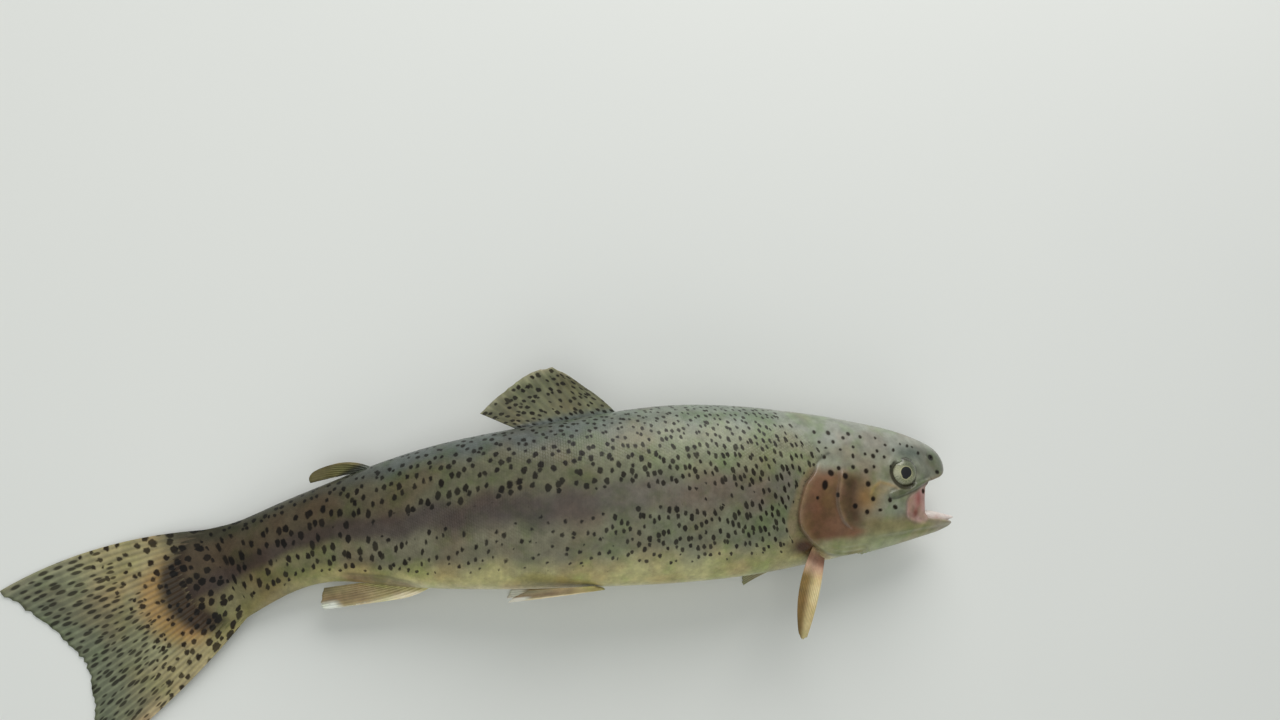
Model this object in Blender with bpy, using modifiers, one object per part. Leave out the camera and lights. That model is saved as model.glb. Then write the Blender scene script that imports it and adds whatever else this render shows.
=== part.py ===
"""A life-size rainbow trout, lying on its left side with its mouth open.

Frame: the nose points along +X, the back along +Y and the right side up, along +Z. The origin is the middle
of the small flat under the left flank, where the fish rests. Lengths below are in millimetres. The word
back is a distance behind the snout's tip, and rise is a height towards the back fin, both measured in the
fish's own middle plane, which is level under the body and sinks to the floor towards the tail.
"""

import math
from collections import namedtuple

import bmesh
import bpy
import numpy as np
from mathutils import Vector

MM = 0.001

# Where the fish lies.
SNOUT_X = 132.0  # the snout's tip, ahead of the resting flat's middle
PLANE_Z = 22.0  # the middle plane over the resting flat
HEAD_SINK, HEAD_SINK_FROM, HEAD_SINK_OVER = 6.0, 86.0, 110.0
TAIL_SINK_FROM, TAIL_SINK_OVER = 166.0, 190.0
FIN_THICK, PAIRED_THICK, ADIPOSE_THICK = 1.1, 0.9, 1.8
GAP = 0.3  # between neighbouring pieces
AROUND = 28  # points round one section

# Where the body is parted, as distances behind the snout along its middle line.
NAPE, MID_TRUNK, VENT = 68.0, 150.0, 217.0

EYE_BACK, EYE_RISE, EYE_RADIUS, EYE_FLATNESS, EYE_STANDS_OUT = 26.5, 7.9, 6.5, 0.55, 1.6
EYE_FOLLOWS = 0.35  # the share of the head's slope that the eye follows

GILL_COVER = {"back": 65.2, "rise": -5.4, "long": 11.6, "tall": 17.6, "square": 2.4}
PLATE_LIFT, GILL_COVER_THICK, MAXILLA_THICK = 0.4, 1.1, 0.9

Station = namedtuple("Station", "top_back top_rise low_back low_rise half widest square_up square_low")

# Sections of the body from the nose to the tail's base. Each lies between a point on the back and one on the
# belly. Half is half its width, widest is where that falls between the belly (0) and the back (1), and 2 in
# the last two columns is a true ellipse.
STATIONS = (
    Station(0.3, 13.0, -3.7, -13.4, 1.4, 0.50, 2.0, 2.0),
    Station(1.2, 14.8, -2.2, -14.7, 3.9, 0.50, 2.0, 2.0),
    Station(3.0, 16.3, 0.5, -15.9, 5.8, 0.50, 2.1, 2.1),
    Station(7.0, 18.9, 5.0, -17.5, 8.0, 0.49, 2.1, 2.1),
    Station(13.0, 21.7, 12.0, -19.4, 10.1, 0.48, 2.2, 2.1),
    Station(22.0, 24.8, 21.0, -21.7, 12.4, 0.46, 2.2, 2.1),
    Station(33.0, 27.4, 32.0, -24.2, 14.4, 0.45, 2.2, 2.1),
    Station(46.0, 29.6, 45.0, -26.5, 15.8, 0.45, 2.2, 2.1),
    Station(58.0, 31.5, 57.0, -28.9, 16.6, 0.46, 2.1, 2.1),
    Station(70.0, 32.9, 70.0, -31.2, 17.7, 0.48, 2.1, 2.1),
    Station(84.0, 34.3, 84.0, -33.6, 20.2, 0.50, 2.1, 2.1),
    Station(104.0, 35.4, 104.0, -36.0, 22.5, 0.51, 2.1, 2.1),
    Station(128.0, 34.8, 128.0, -37.6, 23.2, 0.52, 2.1, 2.1),
    Station(156.0, 30.7, 156.0, -38.3, 22.3, 0.52, 2.1, 2.1),
    Station(190.0, 24.4, 187.0, -38.7, 19.2, 0.53, 2.0, 2.0),
    Station(221.0, 17.6, 213.0, -38.4, 15.4, 0.53, 2.0, 2.0),
    Station(247.0, 8.8, 237.0, -37.0, 11.9, 0.52, 2.0, 2.0),
    Station(268.0, 0.1, 257.0, -35.5, 9.2, 0.50, 2.0, 2.0),
    Station(284.0, -6.9, 271.0, -38.6, 7.2, 0.50, 2.0, 2.0),
    Station(297.0, -12.6, 282.0, -44.2, 5.0, 0.50, 2.0, 2.0),
    Station(307.0, -15.2, 289.5, -48.8, 1.6, 0.50, 2.0, 2.0),
)


# ---------------------------------------------------------------------------------------------------------
# The body's surface


def cubic_slopes(knots, rows):
    """Slopes at the knots of the smoothest cubic through the rows."""
    count = len(knots)
    system = np.zeros((count, count))
    right = np.zeros_like(rows)
    steps = np.diff(knots)
    rates = np.diff(rows, axis=0) / steps[:, None]
    system[0, :2] = 2, 1
    right[0] = 3 * rates[0]
    system[-1, -2:] = 1, 2
    right[-1] = 3 * rates[-1]
    for i in range(1, count - 1):
        system[i, i - 1 : i + 2] = 1 / steps[i - 1], 2 / steps[i - 1] + 2 / steps[i], 1 / steps[i]
        right[i] = 3 * (rates[i - 1] / steps[i - 1] + rates[i] / steps[i])
    return np.linalg.solve(system, right)


ROWS = np.array(STATIONS)
MIDDLES = (ROWS[:, 0:2] + ROWS[:, 2:4]) / 2
KNOTS = np.concatenate([[0.0], np.cumsum(np.hypot(*np.diff(MIDDLES, axis=0).T))])
SLOPES = cubic_slopes(KNOTS, ROWS)


def station_at(along):
    """The section at a distance along the middle line, between the given stations."""
    i = int(np.clip(np.searchsorted(KNOTS, along) - 1, 0, len(KNOTS) - 2))
    step = KNOTS[i + 1] - KNOTS[i]
    u = (along - KNOTS[i]) / step
    start = ROWS[i] * (1 + 2 * u) * (1 - u) ** 2 + SLOPES[i] * step * u * (1 - u) ** 2
    end = ROWS[i + 1] * (3 - 2 * u) * u**2 + SLOPES[i + 1] * step * u**2 * (u - 1)
    return Station(*(start + end))


def along_at(back, rise):
    """The distance along the middle line of the section that holds a point of the middle plane."""
    low, high = 0.0, KNOTS[-1]
    for _ in range(40):
        middle = (low + high) / 2
        s = station_at(middle)
        lean, height = s.top_back - s.low_back, s.top_rise - s.low_rise
        side = (back - s.low_back) * height - (rise - s.low_rise) * lean
        low, high = (middle, high) if side > 0 else (low, middle)
    return (low + high) / 2


def flank(back, rise):
    """Half the body's width at a point of the middle plane."""
    s = station_at(along_at(back, rise))
    share = (rise - s.low_rise) / (s.top_rise - s.low_rise)
    up = share > s.widest
    reach = (share - s.widest) / ((1 - s.widest) if up else s.widest)
    square = s.square_up if up else s.square_low
    return s.half * max(0.0, 1 - abs(reach) ** square) ** (1 / square)


def plane_z(back):
    """Height of the fish's middle plane above the floor."""
    sunk_head = HEAD_SINK * (max(0.0, HEAD_SINK_FROM - back) / HEAD_SINK_OVER) ** 2
    u = min(max((back - TAIL_SINK_FROM) / TAIL_SINK_OVER, 0.0), 1.0)
    sunk_tail = (PLANE_Z - FIN_THICK / 2) * u * u * (3 - 2 * u)
    return PLANE_Z - sunk_head - sunk_tail


def place(back, rise, out=0.0):
    """A point of the model from its place in the fish, with out measured from the middle plane."""
    return Vector((SNOUT_X - back, rise, plane_z(back) + out)) * MM


def section_ring(along):
    """Points round the body's section at a distance along the middle line."""
    s = station_at(along)
    ring = []
    for i in range(AROUND):
        angle = math.tau * (i + 0.5) / AROUND
        up = math.cos(angle)
        square = s.square_up if up > 0 else s.square_low
        reach = math.copysign(abs(up) ** (2 / square), up)
        share = s.widest + reach * ((1 - s.widest) if up > 0 else s.widest)
        out = s.half * math.copysign(abs(math.sin(angle)) ** (2 / square), math.sin(angle))
        back = s.low_back + share * (s.top_back - s.low_back)
        rise = s.low_rise + share * (s.top_rise - s.low_rise)
        ring.append(place(back, rise, out))
    return ring


# ---------------------------------------------------------------------------------------------------------
# Making objects


def clear_scene():
    for thing in list(bpy.data.objects):
        bpy.data.objects.remove(thing, do_unlink=True)


def collection(name):
    group = bpy.data.collections.new(name)
    bpy.context.scene.collection.children.link(group)
    return group


def material(name, colour, roughness, metallic=0.0):
    finish = bpy.data.materials.new(name)
    finish.use_nodes = True
    shader = finish.node_tree.nodes["Principled BSDF"]
    shader.inputs["Base Color"].default_value = (*colour, 1)
    shader.inputs["Roughness"].default_value = roughness
    shader.inputs["Metallic"].default_value = metallic
    return finish


def add_object(name, mesh, finish, group):
    thing = bpy.data.objects.new(name, mesh)
    mesh.materials.append(finish)
    group.objects.link(thing)
    return thing


def loft(name, rings):
    """A closed mesh through rings of equal count, with a flat cap at each end."""
    bm = bmesh.new()
    rows = [[bm.verts.new(point) for point in ring] for ring in rings]
    count = len(rows[0])
    for first, second in zip(rows, rows[1:]):
        for i in range(count):
            bm.faces.new((first[i], first[(i + 1) % count], second[(i + 1) % count], second[i]))
    bm.faces.new(rows[0])
    bm.faces.new(rows[-1])
    return finish_mesh(name, bm)


def finish_mesh(name, bm):
    bmesh.ops.recalc_face_normals(bm, faces=bm.faces)
    mesh = bpy.data.meshes.new(name)
    bm.to_mesh(mesh)
    bm.free()
    mesh.shade_smooth()
    mesh.set_sharp_from_angle(angle=math.radians(40))
    return mesh


def sheet(name, grid, thickness, finish, group):
    """A thin piece from a grid of points, thickened evenly to both sides."""
    bm = bmesh.new()
    rows = [[bm.verts.new(point) for point in row] for row in grid]
    for first, second in zip(rows, rows[1:]):
        for i in range(len(first) - 1):
            bm.faces.new((first[i], first[i + 1], second[i + 1], second[i]))
    thing = add_object(name, finish_mesh(name, bm), finish, group)
    solid = thing.modifiers.new("thickness", "SOLIDIFY")
    solid.thickness = thickness * MM
    solid.offset = 0
    solid.use_even_offset = False
    return thing


def prism(name, outline, reach, group):
    """A cutter with an outline in the middle plane, reaching both ways from it."""
    rings = [[place(back, rise, out) for back, rise in outline] for out in (-reach, reach)]
    thing = bpy.data.objects.new(name, loft(name, rings))
    group.objects.link(thing)
    return hide(thing)


def hide(thing):
    thing.hide_render = True
    thing.display_type = "WIRE"
    return thing


def boolean(target, cutter, operation):
    cut = target.modifiers.new(cutter.name, "BOOLEAN")
    cut.operation = operation
    cut.solver = "EXACT"
    cut.object = cutter


def mix(a, b, u):
    return a + (b - a) * u


def smooth(u):
    u = min(max(u, 0.0), 1.0)
    return u * u * (3 - 2 * u)


# ---------------------------------------------------------------------------------------------------------
# The body


def body_length(name, start, end, steps, finish, group):
    """One length of the body, with the underside cut level where it meets the floor."""
    rings = [section_ring(mix(start, end, i / steps)) for i in range(steps + 1)]
    mesh = loft(name, rings)
    bm = bmesh.new()
    bm.from_mesh(mesh)
    everything = bm.verts[:] + bm.edges[:] + bm.faces[:]
    cut = bmesh.ops.bisect_plane(bm, geom=everything, plane_no=(0, 0, 1), clear_inner=True)
    rim = [edge for edge in cut["geom_cut"] if isinstance(edge, bmesh.types.BMEdge)]
    if rim:
        bmesh.ops.contextual_create(bm, geom=rim)
    bm.to_mesh(mesh)
    bm.free()
    return add_object(name, mesh, finish, group)


def trunk_pieces(finish, group):
    cuts = [along_at(back, rise) for back, rise in ((NAPE, 0), (MID_TRUNK, 0), (VENT, -10))] + [KNOTS[-1]]
    names = (("trunk", 11), ("rear_trunk", 9), ("tail_stalk", 13))
    for (name, steps), start, end in zip(names, cuts, cuts[1:]):
        last = end == KNOTS[-1]
        body_length(name, start, end if last else end - GAP, steps, finish, group)


# The gape between the jaws, from the snout round to the lower jaw's tip, and the lower jaw's rear edge.
GAPE_ROOF = ((-9, 11.5), (-0.6, 9.6), (1.6, 7.6), (7, 5.6), (13.6, 3.6), (15.0, 1.5))
GAPE = GAPE_ROOF + ((15.4, -4), (15.0, -9.5), (13.6, -11.9), (6, -12.3), (-9, -12.6))
JAW = ((-9, -9), (12.0, -9), (16.0, -12.6), (27, -13.4), (41, -12.2), (44, -14), (49.5, -34), (-9, -34))
JAW_HOLLOW = {"back": 6.0, "rise": -10.8, "long": 9.6, "deep": 4.2, "wide": 5.4}
PALATE = {"back": 9.5, "rise": 4.8, "long": 8.5, "deep": 4.0, "wide": 5.4}
THROAT = {"back": 17.0, "rise": -4.5, "long": 12.0, "deep": 6.8, "wide": 6.6}
TONGUE = {"back": 6.0, "rise": -10.6, "long": 8.4, "deep": 2.7, "wide": 3.4}


def ellipsoid(name, back, rise, long, deep, wide, group):
    """A smooth egg lying along the fish, in the middle plane."""
    bpy.ops.mesh.primitive_uv_sphere_add(segments=16, ring_count=10, radius=1)
    thing = bpy.context.object
    thing.name = name
    thing.data.name = name
    for vertex in thing.data.vertices:
        x, y, z = vertex.co
        vertex.co = place(back - x * long, rise + y * deep, z * wide)
    for holder in thing.users_collection:
        holder.objects.unlink(thing)
    group.objects.link(thing)
    thing.data.shade_smooth()
    return thing


def eye_direction(back, rise, side):
    """The way an eye faces, between straight out and square to the head's surface."""
    step = 1.0
    along = (flank(back + step, rise) - flank(back - step, rise)) / (2 * step)
    up = (flank(back, rise + step) - flank(back, rise - step)) / (2 * step)
    return Vector((along * EYE_FOLLOWS, -up * EYE_FOLLOWS, side)).normalized()


def eyeball(name, side, radius, group):
    """A flattened ball that stands a little out of the head's surface."""
    bpy.ops.mesh.primitive_uv_sphere_add(segments=18, ring_count=9, radius=1)
    thing = bpy.context.object
    thing.name = name
    thing.data.name = name
    normal = eye_direction(EYE_BACK, EYE_RISE, side)
    thing.rotation_mode = "QUATERNION"
    thing.rotation_quaternion = Vector((0, 0, 1)).rotation_difference(normal)
    surface = place(EYE_BACK, EYE_RISE, side * flank(EYE_BACK, EYE_RISE))
    thing.location = surface + normal * (EYE_STANDS_OUT - EYE_RADIUS * EYE_FLATNESS) * MM
    deep = radius - EYE_RADIUS * (1 - EYE_FLATNESS)
    for vertex in thing.data.vertices:
        x, y, z = vertex.co
        vertex.co = (x * radius * MM, y * radius * MM, z * deep * MM)
    for holder in thing.users_collection:
        holder.objects.unlink(thing)
    group.objects.link(thing)
    thing.data.shade_smooth()
    return thing


def head_pieces(skin, jaw_skin, mouth, eye, group, cutters):
    """The head with its open mouth, the lower jaw parted from it, the tongue and the eyes."""
    end = along_at(NAPE, 0) - GAP
    steps = 18
    rings = [section_ring(end * (i / steps) ** 1.35) for i in range(steps + 1)]
    reach = 30
    gape = prism("gape", GAPE, reach, cutters)
    below = prism("below_the_jaw_line", JAW, reach, cutters)
    apart = prism("jaw_parting", grown(JAW, GAP), reach, cutters)
    hollow = hide(ellipsoid("jaw_hollow", **JAW_HOLLOW, group=cutters))
    palate = hide(ellipsoid("palate", **PALATE, group=cutters))
    throat = hide(ellipsoid("throat", **THROAT, group=cutters))

    head = add_object("head", loft("head", rings), skin, group)
    boolean(head, gape, "DIFFERENCE")
    boolean(head, apart, "DIFFERENCE")
    boolean(head, palate, "DIFFERENCE")
    boolean(head, throat, "DIFFERENCE")
    jaw = add_object("lower_jaw", loft("lower_jaw", rings), jaw_skin, group)
    boolean(jaw, below, "INTERSECT")
    boolean(jaw, gape, "DIFFERENCE")
    boolean(jaw, hollow, "DIFFERENCE")
    tongue = ellipsoid("tongue", **TONGUE, group=group)
    tongue.data.materials.append(mouth)
    for side, name in ((1, "right"), (-1, "left")):
        ball = eyeball(f"eye_{name}", side, EYE_RADIUS, group)
        ball.data.materials.append(eye)
        socket = hide(eyeball(f"socket_{name}", side, EYE_RADIUS + GAP, cutters))
        boolean(head, socket, "DIFFERENCE")


def grown(outline, distance):
    """The outline with every edge moved outwards by the same distance."""
    corners = [Vector(point) for point in outline]
    turns = sum(a.x * b.y - b.x * a.y for a, b in zip(corners, corners[1:] + corners[:1]))
    outwards = math.copysign(distance, turns)
    moved = []
    for before, here, after in zip(corners[-1:] + corners, corners, corners[1:] + corners[:1]):
        first, second = (here - before).normalized(), (after - here).normalized()
        normal = Vector((first.y + second.y, -first.x - second.x)) / (1 + first.dot(second))
        moved.append(tuple(here + normal * outwards))
    return moved


def plate(name, outline, side, thick, finish, group, rings):
    """A thin plate laid over the head, from its middle out to a closed outline in the middle plane."""
    middle = (sum(p[0] for p in outline) / len(outline), sum(p[1] for p in outline) / len(outline))
    bm = bmesh.new()
    layers = []
    for height in (PLATE_LIFT, PLATE_LIFT + thick):
        rows = []
        for i in range(1, rings + 1):
            share = i / rings
            rows.append([])
            for back, rise in outline:
                b, r = mix(middle[0], back, share), mix(middle[1], rise, share)
                rows[-1].append(bm.verts.new(place(b, r, side * (flank(b, r) + height))))
        centre = bm.verts.new(place(*middle, side * (flank(*middle) + height)))
        layers.append((centre, rows))
    count = len(outline)
    for centre, rows in layers:
        for i in range(count):
            bm.faces.new((centre, rows[0][i], rows[0][(i + 1) % count]))
        for first, second in zip(rows, rows[1:]):
            for i in range(count):
                bm.faces.new((first[i], first[(i + 1) % count], second[(i + 1) % count], second[i]))
    inner, outer = layers[0][1][-1], layers[1][1][-1]
    for i in range(count):
        bm.faces.new((inner[i], inner[(i + 1) % count], outer[(i + 1) % count], outer[i]))
    return add_object(name, finish_mesh(name, bm), finish, group)


def gill_cover_outline(count=24):
    """The gill cover's rounded outline, fuller towards its lower rear corner."""
    outline = []
    for i in range(count):
        angle = math.tau * i / count
        across, up = math.cos(angle), math.sin(angle)
        power = 2 / GILL_COVER["square"]
        back = math.copysign(abs(across) ** power, across) * GILL_COVER["long"]
        rise = math.copysign(abs(up) ** power, up) * GILL_COVER["tall"]
        outline.append((GILL_COVER["back"] + back - 0.12 * rise, GILL_COVER["rise"] + rise))
    return outline


MAXILLA_FRONT, MAXILLA_REAR = (13.2, 4.8), (34.5, -2.2)
MAXILLA_HALF = (0.6, 1.75)  # half its height, in front and behind
MAXILLA_SAG = 0.5


def maxilla_outline(count=9):
    """The upper jaw's side bone: narrow by the snout, broad and round behind, hanging below the eye."""
    front, rear = Vector(MAXILLA_FRONT), Vector(MAXILLA_REAR)
    run = rear - front
    across = Vector((-run.y, run.x)).normalized()
    upper, lower = [], []
    for i in range(count):
        u = i / (count - 1)
        half = mix(*MAXILLA_HALF, smooth(u / 0.9)) * math.sqrt(1 - 0.7 * max(0.0, (u - 0.84) / 0.16) ** 2)
        line = front + run * u - across * MAXILLA_SAG * math.sin(math.pi * u)
        upper.append(tuple(line + across * half))
        lower.append(tuple(line - across * half))
    return upper + lower[::-1]


def head_plates(gill, bone, group):
    for side, name in ((1, "right"), (-1, "left")):
        cover = gill_cover_outline()
        plate(f"gill_cover_{name}", cover, side, GILL_COVER_THICK, gill, group, rings=5)
        plate(f"maxilla_{name}", maxilla_outline(), side, MAXILLA_THICK, bone, group, rings=3)


# ---------------------------------------------------------------------------------------------------------
# The fins


def edge_line(rows_back, rows_rise):
    """The back's or the belly's line as two rising lists, to read a rise from."""
    backs, rises = [], []
    for i in range(241):
        s = station_at(KNOTS[-1] * i / 240)
        backs.append(getattr(s, rows_back))
        rises.append(getattr(s, rows_rise))
    return backs, rises


BACK_LINE = edge_line("top_back", "top_rise")
BELLY_LINE = edge_line("low_back", "low_rise")


def rayed(rays, steps):
    """A grid of points along rays, each a root, a bend and a tip."""
    grid = []
    for root, bend, tip in rays:
        row = []
        for j in range(steps + 1):
            v = j / steps
            row.append(root * (1 - v) ** 2 + bend * 2 * v * (1 - v) + tip * v * v)
        grid.append([place(*point) for point in row])
    return grid


# A fin along the back or the belly: where its base starts and ends behind the snout, its two outer corners
# (back, rise), the share of its rays that end on the leading edge, and how far the rear edge swells.
MedianFin = namedtuple("MedianFin", "base front_corner rear_corner leading swell rays")
DORSAL = MedianFin((149.0, 190.0), (175.5, 52.5), (203.5, 30.5), 0.28, 1.2, 12)
ANAL = MedianFin((217.0, 249.0), (263.0, -45.6), (262.2, -37.6), 0.2, 0.3, 10)
ROOT_GAP = GAP * 1.3


def median_fin(name, fin, line, above, finish, group):
    """A fin in the middle plane. Its first rays are short ones, which end along its leading edge."""
    rays = []
    for i in range(fin.rays + 1):
        u = i / fin.rays
        back = mix(*fin.base, u)
        root = Vector((back, float(np.interp(back, *line)) + above * ROOT_GAP, 0))
        front = rays[0][0] if rays else root
        corner, rear = Vector((*fin.front_corner, 0)), Vector((*fin.rear_corner, 0))
        if u < fin.leading:
            tip = front.lerp(corner, 0.5 + 0.5 * u / fin.leading)
        else:
            share = (u - fin.leading) / (1 - fin.leading)
            edge = rear - corner
            outwards = Vector((abs(edge.y), above * abs(edge.x), 0)).normalized()
            tip = corner.lerp(rear, share) + outwards * fin.swell * math.sin(math.pi * share)
        rays.append((root, (root + tip) / 2, tip))
    sheet(name, rayed(rays, 6), FIN_THICK, finish, group)


ADIPOSE_ROOTS, ADIPOSE_TIPS = (246.5, 256.0), ((267.5, 8.6), (271.5, 3.2))


def adipose_fin(finish, group):
    """The small fleshy lobe on the tail stalk's back."""
    rays, count = [], 6
    for i in range(count + 1):
        u = i / count
        back = mix(*ADIPOSE_ROOTS, u)
        root = Vector((back, float(np.interp(back, *BACK_LINE)) + GAP * 1.6, 0))
        tip = Vector((*ADIPOSE_TIPS[0], 0)).lerp(Vector((*ADIPOSE_TIPS[1], 0)), u)
        bend = (root + tip) / 2 + Vector((0, mix(3.6, 0.9, u), 0))
        rays.append((root, bend, tip))
    sheet("adipose_fin", rayed(rays, 5), ADIPOSE_THICK, finish, group)


TAIL_ANGLE = math.radians(-33)  # the tail fin's middle line, seen from the side
TAIL_FORK, TAIL_UPPER, TAIL_LOWER = 60.0, 72.5, 75.5  # from the root to the fork and to each lobe's tip
TAIL_SPREAD_UP, TAIL_SPREAD_DOWN = 39.5, 35.5
TAIL_BOW = (11.0, 4.5)  # how far the upper and the lower edge swell


def tail_point(along, across, middle):
    """A point of the tail fin, from its distance behind the root and its height on the fin."""
    forward = Vector((math.cos(TAIL_ANGLE), math.sin(TAIL_ANGLE), 0))
    up = Vector((-math.sin(TAIL_ANGLE), math.cos(TAIL_ANGLE), 0))
    return middle + forward * along + up * across


def caudal_fin(finish, group):
    """The broad, shallowly forked tail fin."""
    s = station_at(KNOTS[-1])
    top, low = Vector((s.top_back, s.top_rise, 0)), Vector((s.low_back, s.low_rise, 0))
    middle, half_root = (top + low) / 2, (top - low) / 2
    clear = Vector((half_root.y, -half_root.x, 0)).normalized() * GAP * 1.2
    rays, count = [], 22
    for i in range(count + 1):
        v = 2 * i / count - 1
        lobe = TAIL_UPPER if v > 0 else TAIL_LOWER
        spread = TAIL_SPREAD_UP if v > 0 else TAIL_SPREAD_DOWN
        edge = abs(v)
        root = middle + half_root * 0.99 * v + clear
        reach = mix(TAIL_FORK, lobe, edge**1.5)
        tip = tail_point(reach, spread * v, middle)
        bow = TAIL_BOW[v < 0] * edge**2 * math.copysign(1, v)
        bend = tail_point(reach * 0.5, mix(half_root.length, spread, 0.5) * v + bow, middle)
        rays.append((root, bend, tip))
    sheet("caudal_fin", rayed(rays, 8), FIN_THICK, finish, group)


PairedFin = namedtuple("PairedFin", "name front_root rear_root front_tip rear_tip")

# Each point is (back, rise, out): out is from the middle plane, and a low one lies on the floor.
FLOOR = None
PAIRED_RAYS = 8
PECTORAL_FRONT, PECTORAL_REAR = (61.5, -29.3), (69.3, -25.5)
PELVIC_FRONT, PELVIC_REAR = (156.0, -39.4), (161.0, -37.4)
RIGHT_PECTORAL = ((*PECTORAL_FRONT, 6.0), (*PECTORAL_REAR, 12.4), (72.6, -59.6, 10.5), (73.2, -48.5, 5.0))
LEFT_PECTORAL = ((*PECTORAL_FRONT, -6.0), (*PECTORAL_REAR, -12.4), (88.5, -41.2, FLOOR), (86.0, -30.0, FLOOR))
RIGHT_PELVIC = ((*PELVIC_FRONT, 3.6), (*PELVIC_REAR, 8.8), (191.5, -43.0, 8.0), (184.0, -38.0, 14.0))
LEFT_PELVIC = ((*PELVIC_FRONT, -3.6), (*PELVIC_REAR, -8.8), (190.5, -44.5, FLOOR), (183.0, -35.5, FLOOR))
PAIRED_FINS = (
    PairedFin("pectoral_fin_right", *RIGHT_PECTORAL),
    PairedFin("pectoral_fin_left", *LEFT_PECTORAL),
    PairedFin("pelvic_fin_right", *RIGHT_PELVIC),
    PairedFin("pelvic_fin_left", *LEFT_PELVIC),
)
PAIRED_SWELL = 1.6  # of the outer edge, between its two corners
PAIRED_BOW = 1.2  # how far a free fin bends away from the body
PAIRED_FALL = 0.78  # how much of its drop a fin that lies on the floor has made halfway along


def fin_point(point):
    back, rise, out = point
    if out is FLOOR:
        out = FIN_THICK / 2 - plane_z(back)
    return Vector((back, rise, out))


def paired_fin(fin, finish, group):
    """A pectoral or pelvic fin, half folded, from its root's two ends to its leading and trailing tips."""
    corners = [fin_point(p) for p in (fin.front_root, fin.rear_root, fin.front_tip, fin.rear_tip)]
    front_root, rear_root, front_tip, rear_tip = corners
    outwards = (front_tip - front_root).xy.normalized().to_3d()
    rays = []
    for i in range(PAIRED_RAYS + 1):
        u = i / PAIRED_RAYS
        root = front_root.lerp(rear_root, u)
        tip = front_tip.lerp(rear_tip, u) + outwards * PAIRED_SWELL * math.sin(math.pi * u)
        bend = (root + tip) / 2
        bend.z += math.copysign(PAIRED_BOW, root.z)
        if fin.front_tip[2] is FLOOR:
            bend.z = max(mix(root.z, tip.z, PAIRED_FALL), FIN_THICK / 2 - plane_z(bend.x))
        rays.append((root, bend, tip))
    sheet(fin.name, rayed(rays, 6), PAIRED_THICK, finish, group)


def main():
    clear_scene()
    fish = collection("rainbow_trout")
    cutters = collection("cutters")
    flank_skin = material("flank_skin", (0.30, 0.30, 0.22), 0.35)
    head_skin = material("head_skin", (0.30, 0.29, 0.21), 0.35)
    gill_skin = material("gill_skin", (0.36, 0.22, 0.17), 0.35)
    jaw_skin = material("jaw_skin", (0.42, 0.42, 0.32), 0.35)
    mouth_skin = material("mouth_skin", (0.75, 0.60, 0.58), 0.4)
    eye_gloss = material("eye_gloss", (0.55, 0.55, 0.38), 0.1)
    fin_skin = material("fin_skin", (0.34, 0.30, 0.19), 0.4)

    head_pieces(head_skin, jaw_skin, mouth_skin, eye_gloss, fish, cutters)
    head_plates(gill_skin, head_skin, fish)
    trunk_pieces(flank_skin, fish)
    median_fin("dorsal_fin", DORSAL, BACK_LINE, 1, fin_skin, fish)
    adipose_fin(fin_skin, fish)
    caudal_fin(fin_skin, fish)
    median_fin("anal_fin", ANAL, BELLY_LINE, -1, fin_skin, fish)
    for fin in PAIRED_FINS:
        paired_fin(fin, fin_skin, fish)


main()
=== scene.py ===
"""The looks of a life-size rainbow trout that lies on its left side with its mouth open.

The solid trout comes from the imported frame: nose towards +X, back towards +Y, right side up. This script
dresses it: one sculpted skin over head and body, overlapping scales, rayed fins, eyes and tongue, all marked
by the same rules. Lengths inside the fish are in millimetres. Back is a distance behind the snout's tip, rise
a height towards the back fin, and out a distance from the fish's own middle plane. Most rules take arrays of
such numbers, and a share runs from 0 to 1.
"""

from __future__ import annotations

import logging
import math
from dataclasses import astuple, dataclass, field
from enum import Enum
from typing import Callable, Sequence

import bmesh
import bpy
import numpy as np
import openvdb
from mathutils import Matrix, Vector

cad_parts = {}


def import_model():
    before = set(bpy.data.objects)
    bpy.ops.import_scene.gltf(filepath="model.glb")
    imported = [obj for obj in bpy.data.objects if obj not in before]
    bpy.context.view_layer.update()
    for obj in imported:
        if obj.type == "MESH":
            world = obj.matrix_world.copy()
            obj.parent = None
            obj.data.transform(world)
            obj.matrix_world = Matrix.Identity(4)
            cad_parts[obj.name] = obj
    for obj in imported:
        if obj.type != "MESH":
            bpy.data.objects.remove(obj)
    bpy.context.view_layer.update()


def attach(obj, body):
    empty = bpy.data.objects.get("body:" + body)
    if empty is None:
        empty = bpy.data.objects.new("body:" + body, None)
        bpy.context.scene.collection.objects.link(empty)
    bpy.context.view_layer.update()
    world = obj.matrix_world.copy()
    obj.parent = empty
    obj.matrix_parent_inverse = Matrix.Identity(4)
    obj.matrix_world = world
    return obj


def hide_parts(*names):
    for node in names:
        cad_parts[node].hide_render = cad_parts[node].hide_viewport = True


LOG = logging.getLogger("trout")
MM = 0.001
ROOT_BODY = "root"
COAT_DEPTH = 0.28  # how far the skin lies inside the solids to make room for the scales
FLOOR_CLEARANCE = 0.05
WELD = 1e-6  # metres
TAIL_FIN_NODE = "caudal_fin"

Array = np.ndarray
Value = float | Array
Point = tuple[float, float]
Triple = tuple[float, float, float]


# ---- Small numeric helpers ----


def ease(value: Array | float, low: float, high: float) -> Array:
    """A smooth step from 0 at low to 1 at high."""
    u = np.clip((value - low) / (high - low), 0.0, 1.0)
    return u * u * (3 - 2 * u)


def bell(value: Array | float, width: float) -> Array:
    """A bump of height 1 at zero that has all but gone at twice the width."""
    return np.exp(-((value / width) ** 2))


def mix(a: Array | float, b: Array | float, share: Array | float) -> Array:
    """The value a given share of the way from a to b."""
    return a + (b - a) * share


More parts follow.
